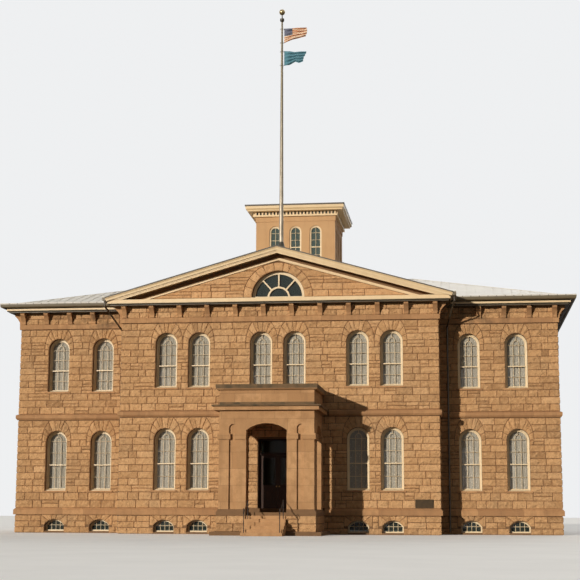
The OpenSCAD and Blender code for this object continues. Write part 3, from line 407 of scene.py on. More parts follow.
def dentilShadeMark(place):
    # Painted shade in the gaps behind the cupola's dentils: within their half-width in plan and between two
    # heights
    low, high, half = markWork["dentils"]
    x, y, z = place.parts()
    reach = x.maths("ABSOLUTE").maths("MAXIMUM", (y - midY).maths("ABSOLUTE"))
    return [((z > low) * (z < high) * (reach < half), markWork["dentilShadeTone"])]


def mastMark(place):
    # The flagpole's colour is darker towards the top; flashing at its foot and the truck are dark
    z = place.parts()[2]
    return [(z.stretch(*markWork["towardsTop"]), markWork["topTone"]),
            ((z < markWork["flashing"]) + (z > markWork["truck"]), markWork["endTone"])]


def makeStucco():
    # Cupola's plaster: two tones by the broad mottling, and rain streaks
    made, place = newMaterial("cupolaStucco")
    fine, broad = useGroup(grain, place, Size=0.6)
    colour = (useGroup(streaks, place, Width=0.35)[0] * 0.3).mix(
        broad.mix(paint(200, 158, 112), paint(186, 143, 98)), paint(160, 118, 80))
    return finishShader(made, colour, 0.88, fine, 0.3, 0.006)


def makeWood(name, face, shade, board, along):
    # Boards: grain drawn out along the board, and a dark line where two boards meet
    made, place = newMaterial(name, Specular_IOR_Level=0.25)
    lines = place.scaled(along).noise(9.0, 6, 0.6)
    fine, broad = useGroup(grain, place, Size=0.5)
    seam = (place.parts()[0] + 50.0).maths("MODULO", board) < 0.005
    colour = cover(lines.stretch(0.35, 0.68).mix(face, shade), (
        (broad.stretch(0.4, 0.8, 0, 0.4), shade), (seam * 0.7, paint(30, 20, 14))))
    return finishShader(made, colour, lines.stretch(0.3, 0.7, 0.5, 0.68), lines * 0.4 - seam, 0.3, 0.003)


glassFinish = {
    "clear": 0.12, "dim": 0.55, "pale": 0.78,  # alpha before the curtains, in unlit rooms as painted shade of the dark room behind, in the cupola
    "curtained": (1.0, 11.0), "cupola": 14.0,  # heights of the two storeys, and of the cupola's foot
    "panes": (paint(34, 44, 40), paint(60, 68, 62)), "cupolaPanes": (paint(56, 71, 64), paint(84, 98, 90)),
}


def makeGlass(finish):
    # Old panes, glossy and faintly wavy: colour and alpha go by the height of the room behind them; below and
    # above the curtained storeys the panes are more opaque, and their dark colour is painted shade of the
    # unlit rooms
    made, place = newMaterial("windowGlass", IOR=1.5)
    wave = place.noise(2.2, 2)
    z, (low, high) = place.parts()[2], finish["curtained"]
    up = z > finish["cupola"]
    unlit = (z < low) + (z > high)
    setSocket(made, "Alpha", unlit.stretch(0, 1, finish["clear"], finish["dim"])
              + up * (finish["pale"] - finish["dim"]))
    colour = up.mix(wave.mix(*finish["panes"]), wave.mix(*finish["cupolaPanes"]))
    return finishShader(made, colour, 0.04, wave, 0.12, 0.02)


def clothPlace(place):
    # Places on the flat cloth, across and down
    return take(place.tree, "ShaderNodeUVMap", 0, uv_map="cloth")


def makeLace():
    # Net curtain: white thread with rows of small holes and woven flowers as bare paler spots
    made, place = newMaterial("laceCurtain", Sheen_Weight=0.2)
    weave = clothPlace(place)
    net, motif = [take(place.tree, "ShaderNodeTexVoronoi", "Distance", {"Vector": weave, "Scale": scale})
                  for scale in (60.0, 7.0)]
    setSocket(made, "Alpha", net.stretch(0.15, 0.5, 0.95, 0.72).maths("MAXIMUM", motif < 0.25))
    colour = useGroup(grain, place, Size=0.4)[1].mix(paint(236, 226, 206), paint(214, 202, 180))
    return finishShader(made, colour, 0.9, net, 0.2, 0.002)


def makeFlagCloth(name, colourAt):
    # Woven cloth in the colour that a function finds at a place
    made, place = newMaterial(name, Sheen_Weight=0.3)
    return finishShader(made, colourAt(place), 0.75, place.noise(260.0, 2), 0.15, 0.001)


def stripes(place):
    # Thirteen stripes and a plain canton; u runs along the fly and v down the hoist
    u, v, w = clothPlace(place).parts()
    odd = (v * 13.0).maths("FLOOR").maths("MODULO", 2.0)
    return ((u < 0.36) * (v < 7 / 13)).mix(odd.mix(paint(182, 110, 58), paint(238, 214, 184)),
                                           paint(100, 102, 118))


def plainBlue(place):
    # Two blues, mixed by a broad noise; the darker blotches are painted shade of creases
    return place.noise(3.0, 3).mix(paint(88, 138, 148), paint(70, 118, 132))


creamPaint = (paint(223, 193, 147), paint(200, 168, 122))
finishes = {
    "rock_stone": makeRockStone(rockFinish),
    "wall_stone": makeWallStone(rockFinish),
    "smooth_stone": makeSmoothStone("smoothStone", smoothFinish),
    "band_stone": makeSmoothStone("bandStone", bandFinish),
    "coping_stone": makeSmoothStone("copingStone", copingFinish),
    "step_stone": makeSmoothStone("stepStone", stepFinish),
    "cream_paint": makeCoat("creamPaint", "paint", *creamPaint),
    # The eave cornice's cream paint, with painted shade on its soffit and behind the gutters
    "cornice_shaded_paint": makeCoat("corniceShadedPaint", "paint", *creamPaint, marks=soffitShadeMark),
    # The cupola cornice's cream paint, with painted shade in the gaps behind its dentils
    "dentil_shaded_paint": makeCoat("dentilShadedPaint", "paint", *creamPaint, marks=dentilShadeMark),
    "cream_wood": makeCoat("creamWood", "paint", paint(226, 201, 160), creamPaint[1], 0.42, 0.3, 0.15),
    "brown_paint": makeCoat("brownPaint", "paint", paint(102, 87, 60), paint(78, 66, 45), marks=rimMark),
    "drip_paint": makeCoat("dripPaint", "paint", paint(74, 62, 46), paint(52, 44, 34)),
    "cupola_stucco": makeStucco(),
    "roof_metal": makeCoat("roofMetal", "metal", paint(220, 213, 200), paint(206, 198, 184), 0.55, 1.6,
                           Metallic=0.0),
    "floor_boards": makeWood("floorBoards", paint(150, 112, 76), paint(104, 74, 48), 0.14, (6, 0.4, 1)),
    "window_glass": makeGlass(glassFinish),
    "lace_curtain": makeLace(),
    "door_wood": makeWood("doorWood", paint(70, 43, 27), paint(43, 26, 17), 50.0, (8, 8, 0.7)),
    "door_brass": makeCoat("doorBrass", "metal", paint(196, 154, 84), paint(140, 104, 56), 0.32, 0.05,
                           Metallic=0.9),
    "rail_iron": makeCoat("railIron", "metal", paint(44, 42, 40), paint(74, 54, 42), 0.55, 0.12,
                          Metallic=0.6),
    "pole_metal": makeCoat("poleMetal", "metal", paint(166, 152, 132), paint(130, 118, 99), 0.38, 0.3,
                           marks=mastMark, Metallic=0.35),
    "gilt_ball": makeCoat("giltBall", "metal", paint(172, 150, 108), paint(104, 90, 58), 0.3, 0.1,
                          Metallic=0.7),
    "striped_flag": makeFlagCloth("stripedFlag", stripes),
    "blue_flag": makeFlagCloth("blueFlag", plainBlue),
    "bronze": makeCoat("bronze", "metal", paint(66, 50, 30), paint(48, 37, 24), 0.45, 0.15, Metallic=0.75),
}
print("finishes made:", len(finishes))


# CAD nodes take the finish of their own slot, apart from these; the stone walls' solids show only
# in joints and reveals
bandNodes = ("belt_course", "water_table", "frieze_band", "window_sills", "eave_brackets")
nodeFinishes = {
    **dict.fromkeys(bandNodes, "band_stone"),
    **dict.fromkeys(("portico_cornice", "portico_parapet"), "coping_stone"),
    "portico_steps": "step_stone", "downspouts": "drip_paint", "eave_cornice": "cornice_shaded_paint",
    "cupola_cornice": "dentil_shaded_paint",
}


def dressNodes():
    # Every CAD node loses its plain material and takes a finish
    for part in frame["record"]["subparts"]:
        slot = "wall_stone" if part["material_slot"] == "rock_stone" else part["material_slot"]
        faces = nodes[part["node"]].data
        faces.materials.clear()
        faces.materials.append(finishes[nodeFinishes.get(part["node"], slot)])


dressNodes()


# Mesh tools

def makePiece(name, points, faces, slot, finish=None, body="building"):
    # A piece of the scene on its body, in the finish of its slot unless another is given
    mesh = bpy.data.meshes.new(name)
    mesh.from_pydata(points.tolist(), [], faces if isinstance(faces, list) else faces.tolist())
    mesh.update()
    piece = addObject(name, mesh)
    mesh.materials.append(finishes[finish or slot])
    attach(piece, body)
    return piece


def addTone(piece, tones):
    # One number for each vertex, which the stone's finish reads
    layer = piece.data.attributes.new("tone", "FLOAT", "POINT")
    layer.data.foreach_set("value", tones.astype(np.float32))


def gridFaces(rows, columns, closedRows=False):
    # Quads between the points of a grid; closedRows joins the last column to the first
    r, c = np.meshgrid(np.arange(rows - 1), np.arange(columns if closedRows else columns - 1), indexing="ij")
    a, b = r * columns + c, r * columns + (c + 1) % columns
    return np.stack([a, b, b + columns, a + columns], -1).reshape(-1, 4)


def tubeFaces(count, k, closed):
    # Quads along a row of count rings of k points; an open tube also gets its two end faces
    faces = (gridFaces(count + 1 if closed else count, k, True) % (count * k)).tolist()
    return faces if closed else faces + [list(range(k))[::-1], list(range((count - 1) * k, count * k))]


def sideways(turn):
    # Direction along a wall and its outward normal, for a wall turned by so many degrees
    a = math.radians(turn)
    along = np.array([round(math.cos(a), 6), round(math.sin(a), 6)])
    return along, np.array([along[1], -along[0]])


def facing(centre, frontOrRear):
    # Turn of the wall that a thing at this centre stands on
    if frontOrRear:
        return 0 if centre[1] < midY else 180
    return 90 if centre[0] > 0 else -90


def onWall(turn, place, u, out, z):
    # Points at a run u along a wall, a distance out from its face and a height z
    along, normal = sideways(turn)
    x = place[0] + along[0] * u + normal[0] * out
    y = place[1] + along[1] * u + normal[1] * out
    return np.stack([x, y, z], -1)


def setOnWall(turn, place, part):
    # A part's own (u, depth, z) set on a wall
    points, faces = part
    return onWall(turn, place, points[:, 0], -points[:, 1], points[:, 2]), faces


def carry(path, profile, closed=False):
    # A closed profile of (across, depth) pairs carried along a path of (u, z) points: each section
    # stands square to the path, mitred at its corners; points are (u, depth, z)
    path, profile = np.array(path, float), np.array(profile, float)
    count, k = len(path), len(profile)
    if closed:
        before, after = path - np.roll(path, 1, 0), np.roll(path, -1, 0) - path
    else:
        steps = np.diff(path, axis=0)
        before, after = np.vstack([steps[:1], steps]), np.vstack([steps, steps[-1:]])
    before /= np.linalg.norm(before, axis=1, keepdims=True)
    after /= np.linalg.norm(after, axis=1, keepdims=True)
    tangent = before + after
    tangent /= np.linalg.norm(tangent, axis=1, keepdims=True)
    mitre = 1 / np.maximum((tangent * after).sum(1), 0.3)
    side = np.stack([-tangent[:, 1], tangent[:, 0]], -1) * mitre[:, None]
    flat = path[:, None] + side[:, None] * profile[None, :, :1]
    points = np.stack([flat[..., 0], np.broadcast_to(profile[:, 1], (count, k)), flat[..., 1]], -1)
    return outward(points.reshape(-1, 3), tubeFaces(count, k, closed))


def carryFlat(path, profile, closed=False):
    # A profile of (across, height) pairs carried along a path in plan
    points, faces = carry(path, profile, closed)
    return outward(points[:, [0, 2, 1]], faces)


def outward(points, faces):
    # Turns a closed shell's faces round where its signed volume is below zero
    fans = np.array([(f[0], f[i], f[i + 1]) for f in faces for i in range(1, len(f) - 1)])
    a, b, c = points[fans[:, 0]], points[fans[:, 1]], points[fans[:, 2]]
    if (a * np.cross(b, c)).sum() < 0:
        faces = [f[::-1] for f in faces]
    return points, faces


def join(parts):
    # Several meshes as one list of points and faces
    points, faces, start = [], [], 0
    for p, f in parts:
        points.append(p)
        faces += [[i + start for i in face] for face in f]
        start += len(p)
    return np.vstack(points), faces


def rectangle(u0, u1, d0, d1):
    # A section's four corners, from its ends across and in depth
    return [(u0, d0), (u1, d0), (u1, d1), (u0, d1)]


def looseBoxes(name):
    # Box of each separate solid of a node: its triangles' corners are welded, then every corner
    # takes the lowest number among its neighbours until the numbers settle
    mesh = nodes[name].data
    points = np.empty(len(mesh.vertices) * 3)
    mesh.vertices.foreach_get("co", points)
    mesh.calc_loop_triangles()
    corners = np.empty(len(mesh.loop_triangles) * 3, np.int32)
    mesh.loop_triangles.foreach_get("vertices", corners)
    points, corners = points.reshape(-1, 3), corners.reshape(-1, 3)
    weld = np.unique(np.round(points, 4), axis=0, return_inverse=True)[1].ravel()
    corners = weld[corners]
    label = np.arange(weld.max() + 1)
    while True:
        lowest = label[corners].min(1)
        settled = label.copy()
        for column in corners.T:
            np.minimum.at(settled, column, lowest)
        settled = settled[settled]
        if (settled == label).all():
            break
        label = settled
    owner = label[weld]
    return [(points[owner == o].min(0), points[owner == o].max(0)) for o in np.unique(owner)]


# Window places: each frame's box says which way it looks and where its outer face is
windowKinds = {"basement": 1.0, "lower": 6.0, "upper": 11.0, "cupola": 18.0}  # highest centre of each


def findWindows():
    # Kind by the height of the centre, width and depth by the box's long and short side
    found = []
    for low, high in looseBoxes("window_frames"):
        centre, size = (low + high) / 2, high - low
        turn = facing(centre, size[1] < size[0])
        kind = next(k for k, top in windowKinds.items() if centre[2] < top)
        depth, width = min(size[:2]), max(size[:2])
        found.append({"kind": kind, "turn": turn, "place": centre[:2] + sideways(turn)[1] * depth / 2,
                      "width": width, "low": low[2], "high": high[2]})
    return found


windows = findWindows()
print("windows found:", {k: sum(w["kind"] == k for w in windows) for k in windowKinds})


# Rock-faced stone blocks

stoneWork = {
    "course": 0.335,  # height of one course, about
    "joint": 0.014, "margin": 0.026,  # gap between two blocks, and width of each one's worked edge
    "rise": 0.04, "sunk": 0.004,  # how far a face stands out, and its rim lies in
    "underBand": 0.03,  # gap between a course and the band over it
    "tone": 0.55, "toneSpread": 0.16,  # middle and spread of the blocks' tones
    "wingTone": 0.12, "gableTone": -0.14,  # how much darker than the rest
    "length": (0.45, 1.05), "usual": 0.68, "spacing": (0.65, 1.45),  # end blocks; the others and their spread
    "spare": 0.3,  # room that a run needs beyond its end blocks to be laid with several joints
    "middleRun": (0.85, 0.36, 0.64),  # a run over this length gets one joint between these shares
    "shortRun": (0.5, 0.4, 0.6), "shortChance": 0.4,  # so does a shorter one, by chance
    "split": 0.16, "splitAt": (0.42, 0.58), "splitHigh": 0.3,  # chance, shares, and lowest course for it
    "stagger": 0.12,  # least offset from the joints of the course below
    "narrowest": (0.09, 0.05),  # at the widest and on the whole
    "ownRise": (0.75, 1.2), "middleRise": (0.75, 1.5), "marginRise": (0.55, 1.0),  # spread of the relief
    "quoin": (0.88, 0.46),  # long and short face of a corner block
    "cornerRound": 0.022,
    "archStone": 0.22,  # width of the stones beside a window's arch
    "archReach": 1.25,  # height that the arch's stones would reach over the spring
    "archAngles": (0, 26, 48, 67, 82, 98, 113, 132, 154, 180),
    "basementRise": 0.28, "basementStone": 0.18, "basementAngles": (0, 38, 72, 108, 142, 180),
    "lunetteStone": 0.42, "lunetteCount": 11,
    "rakeFoot": 0.435, "rakeGap": 0.03,  # from the apex down to the sloping moulding's foot, and under it
    "plaqueEdge": 0.05, "plaqueRise": 0.012,  # blocks stay flat this far round the plaque
    "jamb": 0.05,  # least distance of the jamb's last joint under the spring
    "pier": 0.17,  # stones that share a pier may be this much wider than the usual ones
}
blockRows, blockColumns = 5, 6  # points of one block's face
blockPoints = blockRows * blockColumns


def still(at):
    # An edge that stays at one run whatever the height
    return lambda z: np.full_like(z, at)


def courseLevels(low, high):
    # Even courses from low to high, as near to the usual height as they go
    return np.linspace(low, high, max(1, round((high - low) / stoneWork["course"])) + 1)


def addOpening(wall, centre, half, low, high, spring=None, start=None, sides=None, reach=1.0):
    # Half-width over the height: the jamb, then the arch stones' outer edge, which is an ellipse
    sides = sides or (half, half)
    start = high if start is None else start
    spring = high if spring is None else spring

    def halfAt(z, side):
        up = np.clip((z - spring) / reach, 0, 1)
        return np.where(z < start, half, side * np.sqrt(1 - up ** 2))

    wall["openings"].append({
        "centre": centre, "low": low, "high": high,
        "left": lambda z: centre - halfAt(z, sides[0]), "right": lambda z: centre + halfAt(z, sides[1])})


def pickBreaks(first, last, below):
    # Joints between first and last, of uneven spacing and clear of the joints of the course below
    if last - first < 0.2:
        return [] if last - first < 0.02 else [first]
    count = max(1, round((last - first) / stoneWork["usual"]))
    shares = rng.uniform(*stoneWork["spacing"], count)
    marks = first + (last - first) * np.concatenate([[0], np.cumsum(shares)]) / shares.sum()
    if len(below):
        stagger = stoneWork["stagger"]
        near = np.array(below)[np.abs(np.array(below)[None] - marks[:, None]).argmin(1)]
        gap = marks - near
        push = np.where(np.abs(gap) < stagger, np.sign(gap + 1e-6) * stagger - gap, 0)
        marks[1:-1] += push[1:-1]
    return marks.tolist()


def breaksBetween(start, stop, ends, below):
    # Joints of one run of blocks: several in a long run, one or none in a short one
    room, (middle, *middleAt), (short, *shortAt) = stop - start, stoneWork["middleRun"], stoneWork["shortRun"]
    if room > ends.sum() + stoneWork["spare"]:
        return pickBreaks(start + ends[0], stop - ends[1], below)
    if room > middle:
        return [start + room * rng.uniform(*middleAt)]
    if room > short and rng.uniform() < stoneWork["shortChance"]:
        return [start + room * rng.uniform(*shortAt)]
    return []


def layWall(wall):
    # Courses of blocks from the wall's foot to its top, each course cut by the openings
    blocks, below, number = [], [], 0
    for levels in wall["zones"]:
        for z0, z1 in zip(levels[:-1], levels[1:]):
            number += 1
            mids = np.linspace(z0 + 0.01, z1 - 0.01, 5)
            cuts = sorted((o for o in wall["openings"] if o["low"] < z1 - 0.02 and o["high"] > z0 + 0.02),
                          key=lambda o: o["centre"])
            lefts = [wall["left"]] + [o["right"] for o in cuts]
            rights = [o["left"] for o in cuts] + [wall["right"]]
            here = []
            for i, (left, right) in enumerate(zip(lefts, rights)):
                atCorner = (wall["corners"][0] and i == 0, wall["corners"][1] and i == len(lefts) - 1)
                turnAbout = (number + (wall["turn"] % 180 != 0)) % 2
                ends = rng.uniform(*stoneWork["length"], 2)
                ends[list(atCorner)] = stoneWork["quoin"][turnAbout]
                marks = breaksBetween(left(mids).max(), right(mids).min(), ends, below)
                here += marks
                edges = [left] + [still(m) for m in marks] + [right]
                for j, (a, b) in enumerate(zip(edges[:-1], edges[1:])):
                    corner = (atCorner[0] and j == 0, atCorner[1] and j == len(edges) - 2)
                    tall = not any(corner) and z1 - z0 > stoneWork["splitHigh"]
                    if tall and rng.uniform() < stoneWork["split"]:
                        cut = z0 + (z1 - z0) * rng.uniform(*stoneWork["splitAt"])
                        blocks += [(a, b, z0, cut, corner), (a, b, cut, z1, corner)]
                    else:
                        blocks.append((a, b, z0, z1, corner))
            below = here
    return blocks


def blockSurfaces(blocks):
    # Each block's face as a grid of 5 heights and 6 columns: its (u, z) places, and which corner it turns
    gap, margin = stoneWork["joint"] / 2, stoneWork["margin"]
    widest, mean = stoneWork["narrowest"]
    runs, heights, corners = [], [], []
    for left, right, z0, z1, corner in blocks:
        z = np.array([z0 + gap, z0 + gap + margin, (z0 + z1) / 2, z1 - gap - margin, z1 - gap])
        a = left(z) + (0 if corner[0] else gap)
        b = right(z) - (0 if corner[1] else gap)
        if (b - a).max() < widest or (b - a).mean() < mean:
            continue
        b = np.maximum(b, a + 0.008)
        edge = np.minimum(margin, (b - a) * 0.3)
        third = (b - a - 2 * edge) / 3
        runs.append(np.stack([a, a + edge, a + edge + third, b - edge - third, b - edge, b], -1))
        heights.append(np.repeat(z[:, None], blockColumns, 1))
        corners.append(corner)
    return np.array(runs), np.array(heights), np.array(corners).reshape(-1, 2)


def archStones(centre, spring, drop, radius, outer, angles):
    # Wedge stones round an arch: rings between its inner edge, whose circle is centred a drop
    # below the spring, and an outer edge given over the angle
    runs, heights = [], []
    marks = np.radians(angles) + np.concatenate([[0], rng.uniform(-0.05, 0.05, len(angles) - 2), [0]])
    gap, margin = stoneWork["joint"] / 2, stoneWork["margin"]
    for a0, a1 in zip(marks[:-1], marks[1:]):
        turn = a1 - (a1 - a0) * np.array([0.012, 0.08, 0.36, 0.64, 0.92, 0.988])
        inner = -drop * np.sin(turn) + np.sqrt(radius ** 2 - (drop * np.cos(turn)) ** 2) + gap
        far = np.maximum(outer(turn) - gap, inner + 0.03)
        edge = (far - inner) * np.minimum(margin / (far - inner), 0.3)
        reach = np.stack([inner, inner + edge, (inner + far) / 2, far - edge, far])
        runs.append(centre + reach * np.cos(turn))
        heights.append(spring + reach * np.sin(turn))
    return runs, heights


def stonesMesh(runs, heights, corners, turn, place, flatten=None):
    # Relief of the blocks: the rim lies in the wall, the margin stands out and the middle bulges,
    # each block by its own share; a corner's rim turns round the wall's edge
    count, size = len(runs), (blockRows, blockColumns)
    rise, sunk, cornerRound = stoneWork["rise"], stoneWork["sunk"], stoneWork["cornerRound"]
    own = rng.uniform(*stoneWork["ownRise"], (count, 1, 1))
    out = rise * own * rng.uniform(*stoneWork["middleRise"], (count, *size))
    rim, ring = np.ones(size, bool), np.zeros(size, bool)
    ring[1:-1, 1:-1] = True
    ring[2:-2, 2:-2] = False
    rim[1:-1, 1:-1] = False
    out = np.where(ring, rise * own * rng.uniform(*stoneWork["marginRise"], (count, *size)), out)
    if flatten is not None:
        out = np.minimum(out, flatten(runs, heights))
    out = np.where(rim, -sunk, out)
    bend = np.array([-sunk] + [cornerRound] * 3 + [-sunk])
    for side, column, way in ((0, 0, -1), (1, blockColumns - 1, 1)):
        atEdge = corners[:, side]
        out[atEdge, :, column] = bend
        runs[atEdge, :, column] += way * bend
    points = onWall(turn, place, runs, out, heights).reshape(-1, 3)
    start = np.arange(count)[:, None, None] * blockPoints
    quads = (gridFaces(*size)[None] + start).reshape(-1, 4)
    loop = np.r_[0:24:6, 24:29, 29:5:-6, 5:0:-1]  # the rim's points in turn, which close the back
    faces = quads.tolist() + (start[:, 0] + loop[None]).tolist()
    tone = np.clip(rng.normal(stoneWork["tone"], stoneWork["toneSpread"], count), 0, 1)
    return points, faces, np.repeat(tone, blockPoints)


def lowerLevels():
    # Courses between the bands: foot, under the sills, window zone of both storeys, and under the eaves
    under = stoneWork["underBand"]
    return [courseLevels(0, waterTable[0] - under), courseLevels(waterTable[1], sillFootZ),
            courseLevels(sillFootZ, belt[0] - under), courseLevels(belt[1], upperSillZ - sillHeight),
            courseLevels(upperSillZ - sillHeight, frieze[0] - under), courseLevels(frieze[1], eaveZ)]


sillHeight = min(w["low"] for w in windows if w["kind"] == "lower") - sillFootZ
storeyLevels = lowerLevels()
wallFaces = [
    ("pavilion_front_stones", 0, (0, frontY), -halfPavilion, halfPavilion, (True, True)),
    ("left_wing_front_stones", 0, (0, wingY), -halfWing, -halfPavilion, (True, False)),
    ("right_wing_front_stones", 0, (0, wingY), halfPavilion, halfWing, (False, True)),
    ("front_return_stones", 90, (halfPavilion, 0), frontY, wingY, (True, False)),
    ("front_return_stones", -90, (-halfPavilion, 0), -wingY, -frontY, (False, True)),
    ("right_side_stones", 90, (halfWing, 0), wingY, wingRearY, (True, True)),
    ("left_side_stones", -90, (-halfWing, 0), -wingRearY, -wingY, (True, True)),
    ("pavilion_rear_stones", 180, (0, rearY), -halfPavilion, halfPavilion, (True, True)),
    ("right_wing_rear_stones", 180, (0, wingRearY), -halfWing, -halfPavilion, (True, False)),
    ("left_wing_rear_stones", 180, (0, wingRearY), halfPavilion, halfWing, (False, True)),
    ("rear_return_stones", 90, (halfPavilion, 0), wingRearY, rearY, (False, True)),
    ("rear_return_stones", -90, (-halfPavilion, 0), -rearY, -wingRearY, (True, False)),
]


def windowsOf(turn, place, low, high):
    # The windows of one wall with their run along it
    along, normal = sideways(turn)
    found = []
    for w in windows:
        offset = w["place"] - np.array(place)
        run, out = float(offset @ along), float(offset @ normal)
        if w["turn"] == turn and low < run < high and -0.5 < out < 0.1:
            found.append((run, w))
    return sorted(found, key=lambda pair: pair[0])


def archOutline(sides, reach, top):
    # Outer edge of an arch's stones over the angle: an ellipse, cut level at the band above
    def outer(turn):
        side = np.where(np.cos(turn) > 0, sides[1], sides[0])
        edge = 1 / np.sqrt((np.cos(turn) / side) ** 2 + (np.sin(turn) / reach) ** 2)
        return np.minimum(edge, top / np.maximum(np.sin(turn), 1e-3))
    return outer


def boxOutline(half, top):
    # Outer edge over the angle where the arch's stones fill a rectangle
    return lambda turn: np.minimum(half / np.maximum(np.abs(np.cos(turn)), 1e-3),
                                   top / np.maximum(np.sin(turn), 1e-3))


def basementArch(wall, run, w):
    # A low segment arch: its radius follows from its half-width and rise
    half, rise = w["width"] / 2, stoneWork["basementRise"]
    side, spring = half + stoneWork["basementStone"], w["high"] - rise
    radius = (half ** 2 + rise ** 2) / (2 * rise)
    addOpening(wall, run, half, 0.0, waterTable[0], start=storeyLevels[0][1], sides=(side, side))
    outer = boxOutline(side, waterTable[0] - 0.005 - spring)
    return archStones(run, spring, radius - rise, radius, outer, stoneWork["basementAngles"])


def storeyArch(wall, run, w, peers):
    # A round arch whose stones share the pier with the next window where that is near, and the
    # stones below its spring
    zone = storeyLevels[2] if w["kind"] == "lower" else storeyLevels[4]
    half, wide = w["width"] / 2, w["width"] / 2 + stoneWork["archStone"]
    spring = w["high"] - half
    joint = zone[zone < spring - stoneWork["jamb"]].max()
    near = [min([abs(p - run) / 2 for p in peers if (p > run) == up] + [9]) for up in (False, True)]
    sides = [n if n < wide + stoneWork["pier"] else wide for n in near]
    addOpening(wall, run, half, zone[0], zone[-1], spring, joint, sides, stoneWork["archReach"])
    outer = archOutline(sides, stoneWork["archReach"], zone[-1] - spring)
    ring = archStones(run, spring, 0.0, half, outer, stoneWork["archAngles"])
    edges = ((run - sides[0], run - half), (run + half, run + sides[1]))
    return ring, [(still(a), still(b), joint, spring, (False, False)) for a, b in edges]


def addArches(surfaces, arches):
    # Wedge stones, as blocks that turn no corner, after the blocks of a wall
    runs, heights, corners = surfaces
    if not arches[0]:
        return surfaces
    return (np.concatenate([runs, arches[0]]), np.concatenate([heights, arches[1]]),
            np.concatenate([corners, np.zeros((len(arches[0]), 2), bool)]))


def plaqueGap(runs, heights):
    # Blocks behind the plaque stay flat, so that it lies on them
    low, high = boxes["plaque"]
    edge = stoneWork["plaqueEdge"]
    over = (runs > low[0] - edge) & (runs < high[0] + edge)
    over &= (heights > low[2] - edge) & (heights < high[2] + edge)
    return np.where(over, stoneWork["plaqueRise"], 1.0)


def stoneWall(turn, place, low, high, corners):
    # One wall's blocks and arch stones
    wall = {"turn": turn, "zones": storeyLevels, "openings": [], "corners": corners,
            "left": still(low), "right": still(high)}
    arches, stilts = ([], []), []
    here = windowsOf(turn, place, low, high)
    for run, w in here:
        if w["kind"] == "basement":
            ring = basementArch(wall, run, w)
        else:
            peers = [other for other, o in here if o["kind"] == w["kind"] and abs(other - run) > 0.1]
            ring, below = storeyArch(wall, run, w, peers)
            stilts += below
        arches[0].extend(ring[0])
        arches[1].extend(ring[1])
    isFront = (turn, low) == (0, -halfPavilion)
    if isFront:
        door = boxes["door_frame"][1]
        doorHigh = storeyLevels[2][storeyLevels[2] > door[2] - 0.02].min()
        addOpening(wall, 0.0, door[0], 0.0, doorHigh)
    surfaces = addArches(blockSurfaces(layWall(wall) + stilts), arches)
    return stonesMesh(*surfaces, turn, place, plaqueGap if isFront else None)


def gableStones(turn, y):
    # Blocks of one gable, between the sloping boards and round the half-round window
    (left, front, base), (radius, back, head) = boxes["lunette_frames"]
    apex = boxes["gable_walls"][1][2] - stoneWork["rakeFoot"]

    def edge(z):
        return np.clip((apex - z) / gableSlope, 0, halfPavilion)

    levels = np.arange(base, apex - stoneWork["rakeGap"], stoneWork["course"])
    wall = {"turn": turn, "zones": [levels], "openings": [], "corners": (False, False),
            "left": lambda z: -edge(z), "right": edge}
    outer = radius + stoneWork["lunetteStone"]
    addOpening(wall, 0.0, outer, base, base + outer, base, base, (outer, outer), outer)
    surfaces = blockSurfaces(layWall(wall))
    arches = archStones(0.0, base, 0.0, radius, lambda t: np.full_like(t, outer),
                        np.linspace(0, 180, stoneWork["lunetteCount"] + 1))
    return stonesMesh(*addArches(surfaces, arches), turn, (0, y))


podiumWork = {"low": 0.17, "high": 0.90, "out": 0.06, "opening": 0.945}


def podiumStones():
    # Rough blocks round the portico's foot, on its front beside the steps and on its two sides
    work = podiumWork
    half, front = halfPortico + work["out"], porticoY - work["out"]
    sides = [(0, (0, front), -half, -work["opening"], (True, False)),
             (0, (0, front), work["opening"], half, (False, True)),
             (90, (half, 0), front, frontY - 0.02, (True, False)),
             (-90, (-half, 0), 0.02 - frontY, -front, (False, True))]
    parts = []
    for turn, place, low, high, corners in sides:
        wall = {"turn": turn, "zones": [courseLevels(work["low"], work["high"])], "openings": [],
                "corners": corners, "left": still(low), "right": still(high)}
        parts.append(stonesMesh(*blockSurfaces(layWall(wall)), turn, place))
    return parts


def makeStones():
    # One piece for each wall; wings and podium are darker, the gables paler
    made = {"podium_stones": podiumStones()}
    for name, *wall in wallFaces:
        made.setdefault(name, []).append(stoneWall(*wall))
    made["front_gable_stones"] = [gableStones(0, frontY)]
    made["rear_gable_stones"] = [gableStones(180, rearY)]
    count = 0
    for name, parts in made.items():
        points, faces = join([(p, f) for p, f, t in parts])
        piece = makePiece(name, points, faces, "rock_stone")
        darker = stoneWork["wingTone"] if "wing" in name or "podium" in name else 0
        darker = stoneWork["gableTone"] if "gable" in name else darker
        addTone(piece, np.clip(np.concatenate([t for p, f, t in parts]) - darker, 0, 1))
        count += len(points) // blockPoints
    print("stone blocks laid:", count)


makeStones()


# Sashes, glazing bars and mouldings of the windows

sashWork = {
    "stile": 0.045, "bar": 0.026, "back": 0.108, "barFront": 0.078, "stileFront": 0.055,
    "mould": (0.056, 0.036),  # width of the moulding and how far it stands out
    "frame": {"lower": 0.07, "upper": 0.07, "basement": 0.07, "cupola": 0.09},
    "rails": {"lower": (0.68, 1.91, 2.51), "upper": (0.58, 1.66, 2.17)},  # bars' heights over the sill
    "archFoot": 0.09,  # from the top rail up to the foot of the round bar
    "subSill": (0.075, 0.13),  # height at the frame and depth in front of it
    "basementBar": 0.03, "basementBars": (-0.22, 0, 0.22), "basementRail": 0.30,
}
cupolaWork = {
    "bar": (0.03, 0.03, 0.068), "rail": (-0.025, 0.025, 0.012, 0.068),  # sections
    "mould": (0.05, 0.012), "mouldIn": 0.062,
    "bars": (0.43, 1.27, 1.67), "meeting": 0.87,  # heights over the sill
}


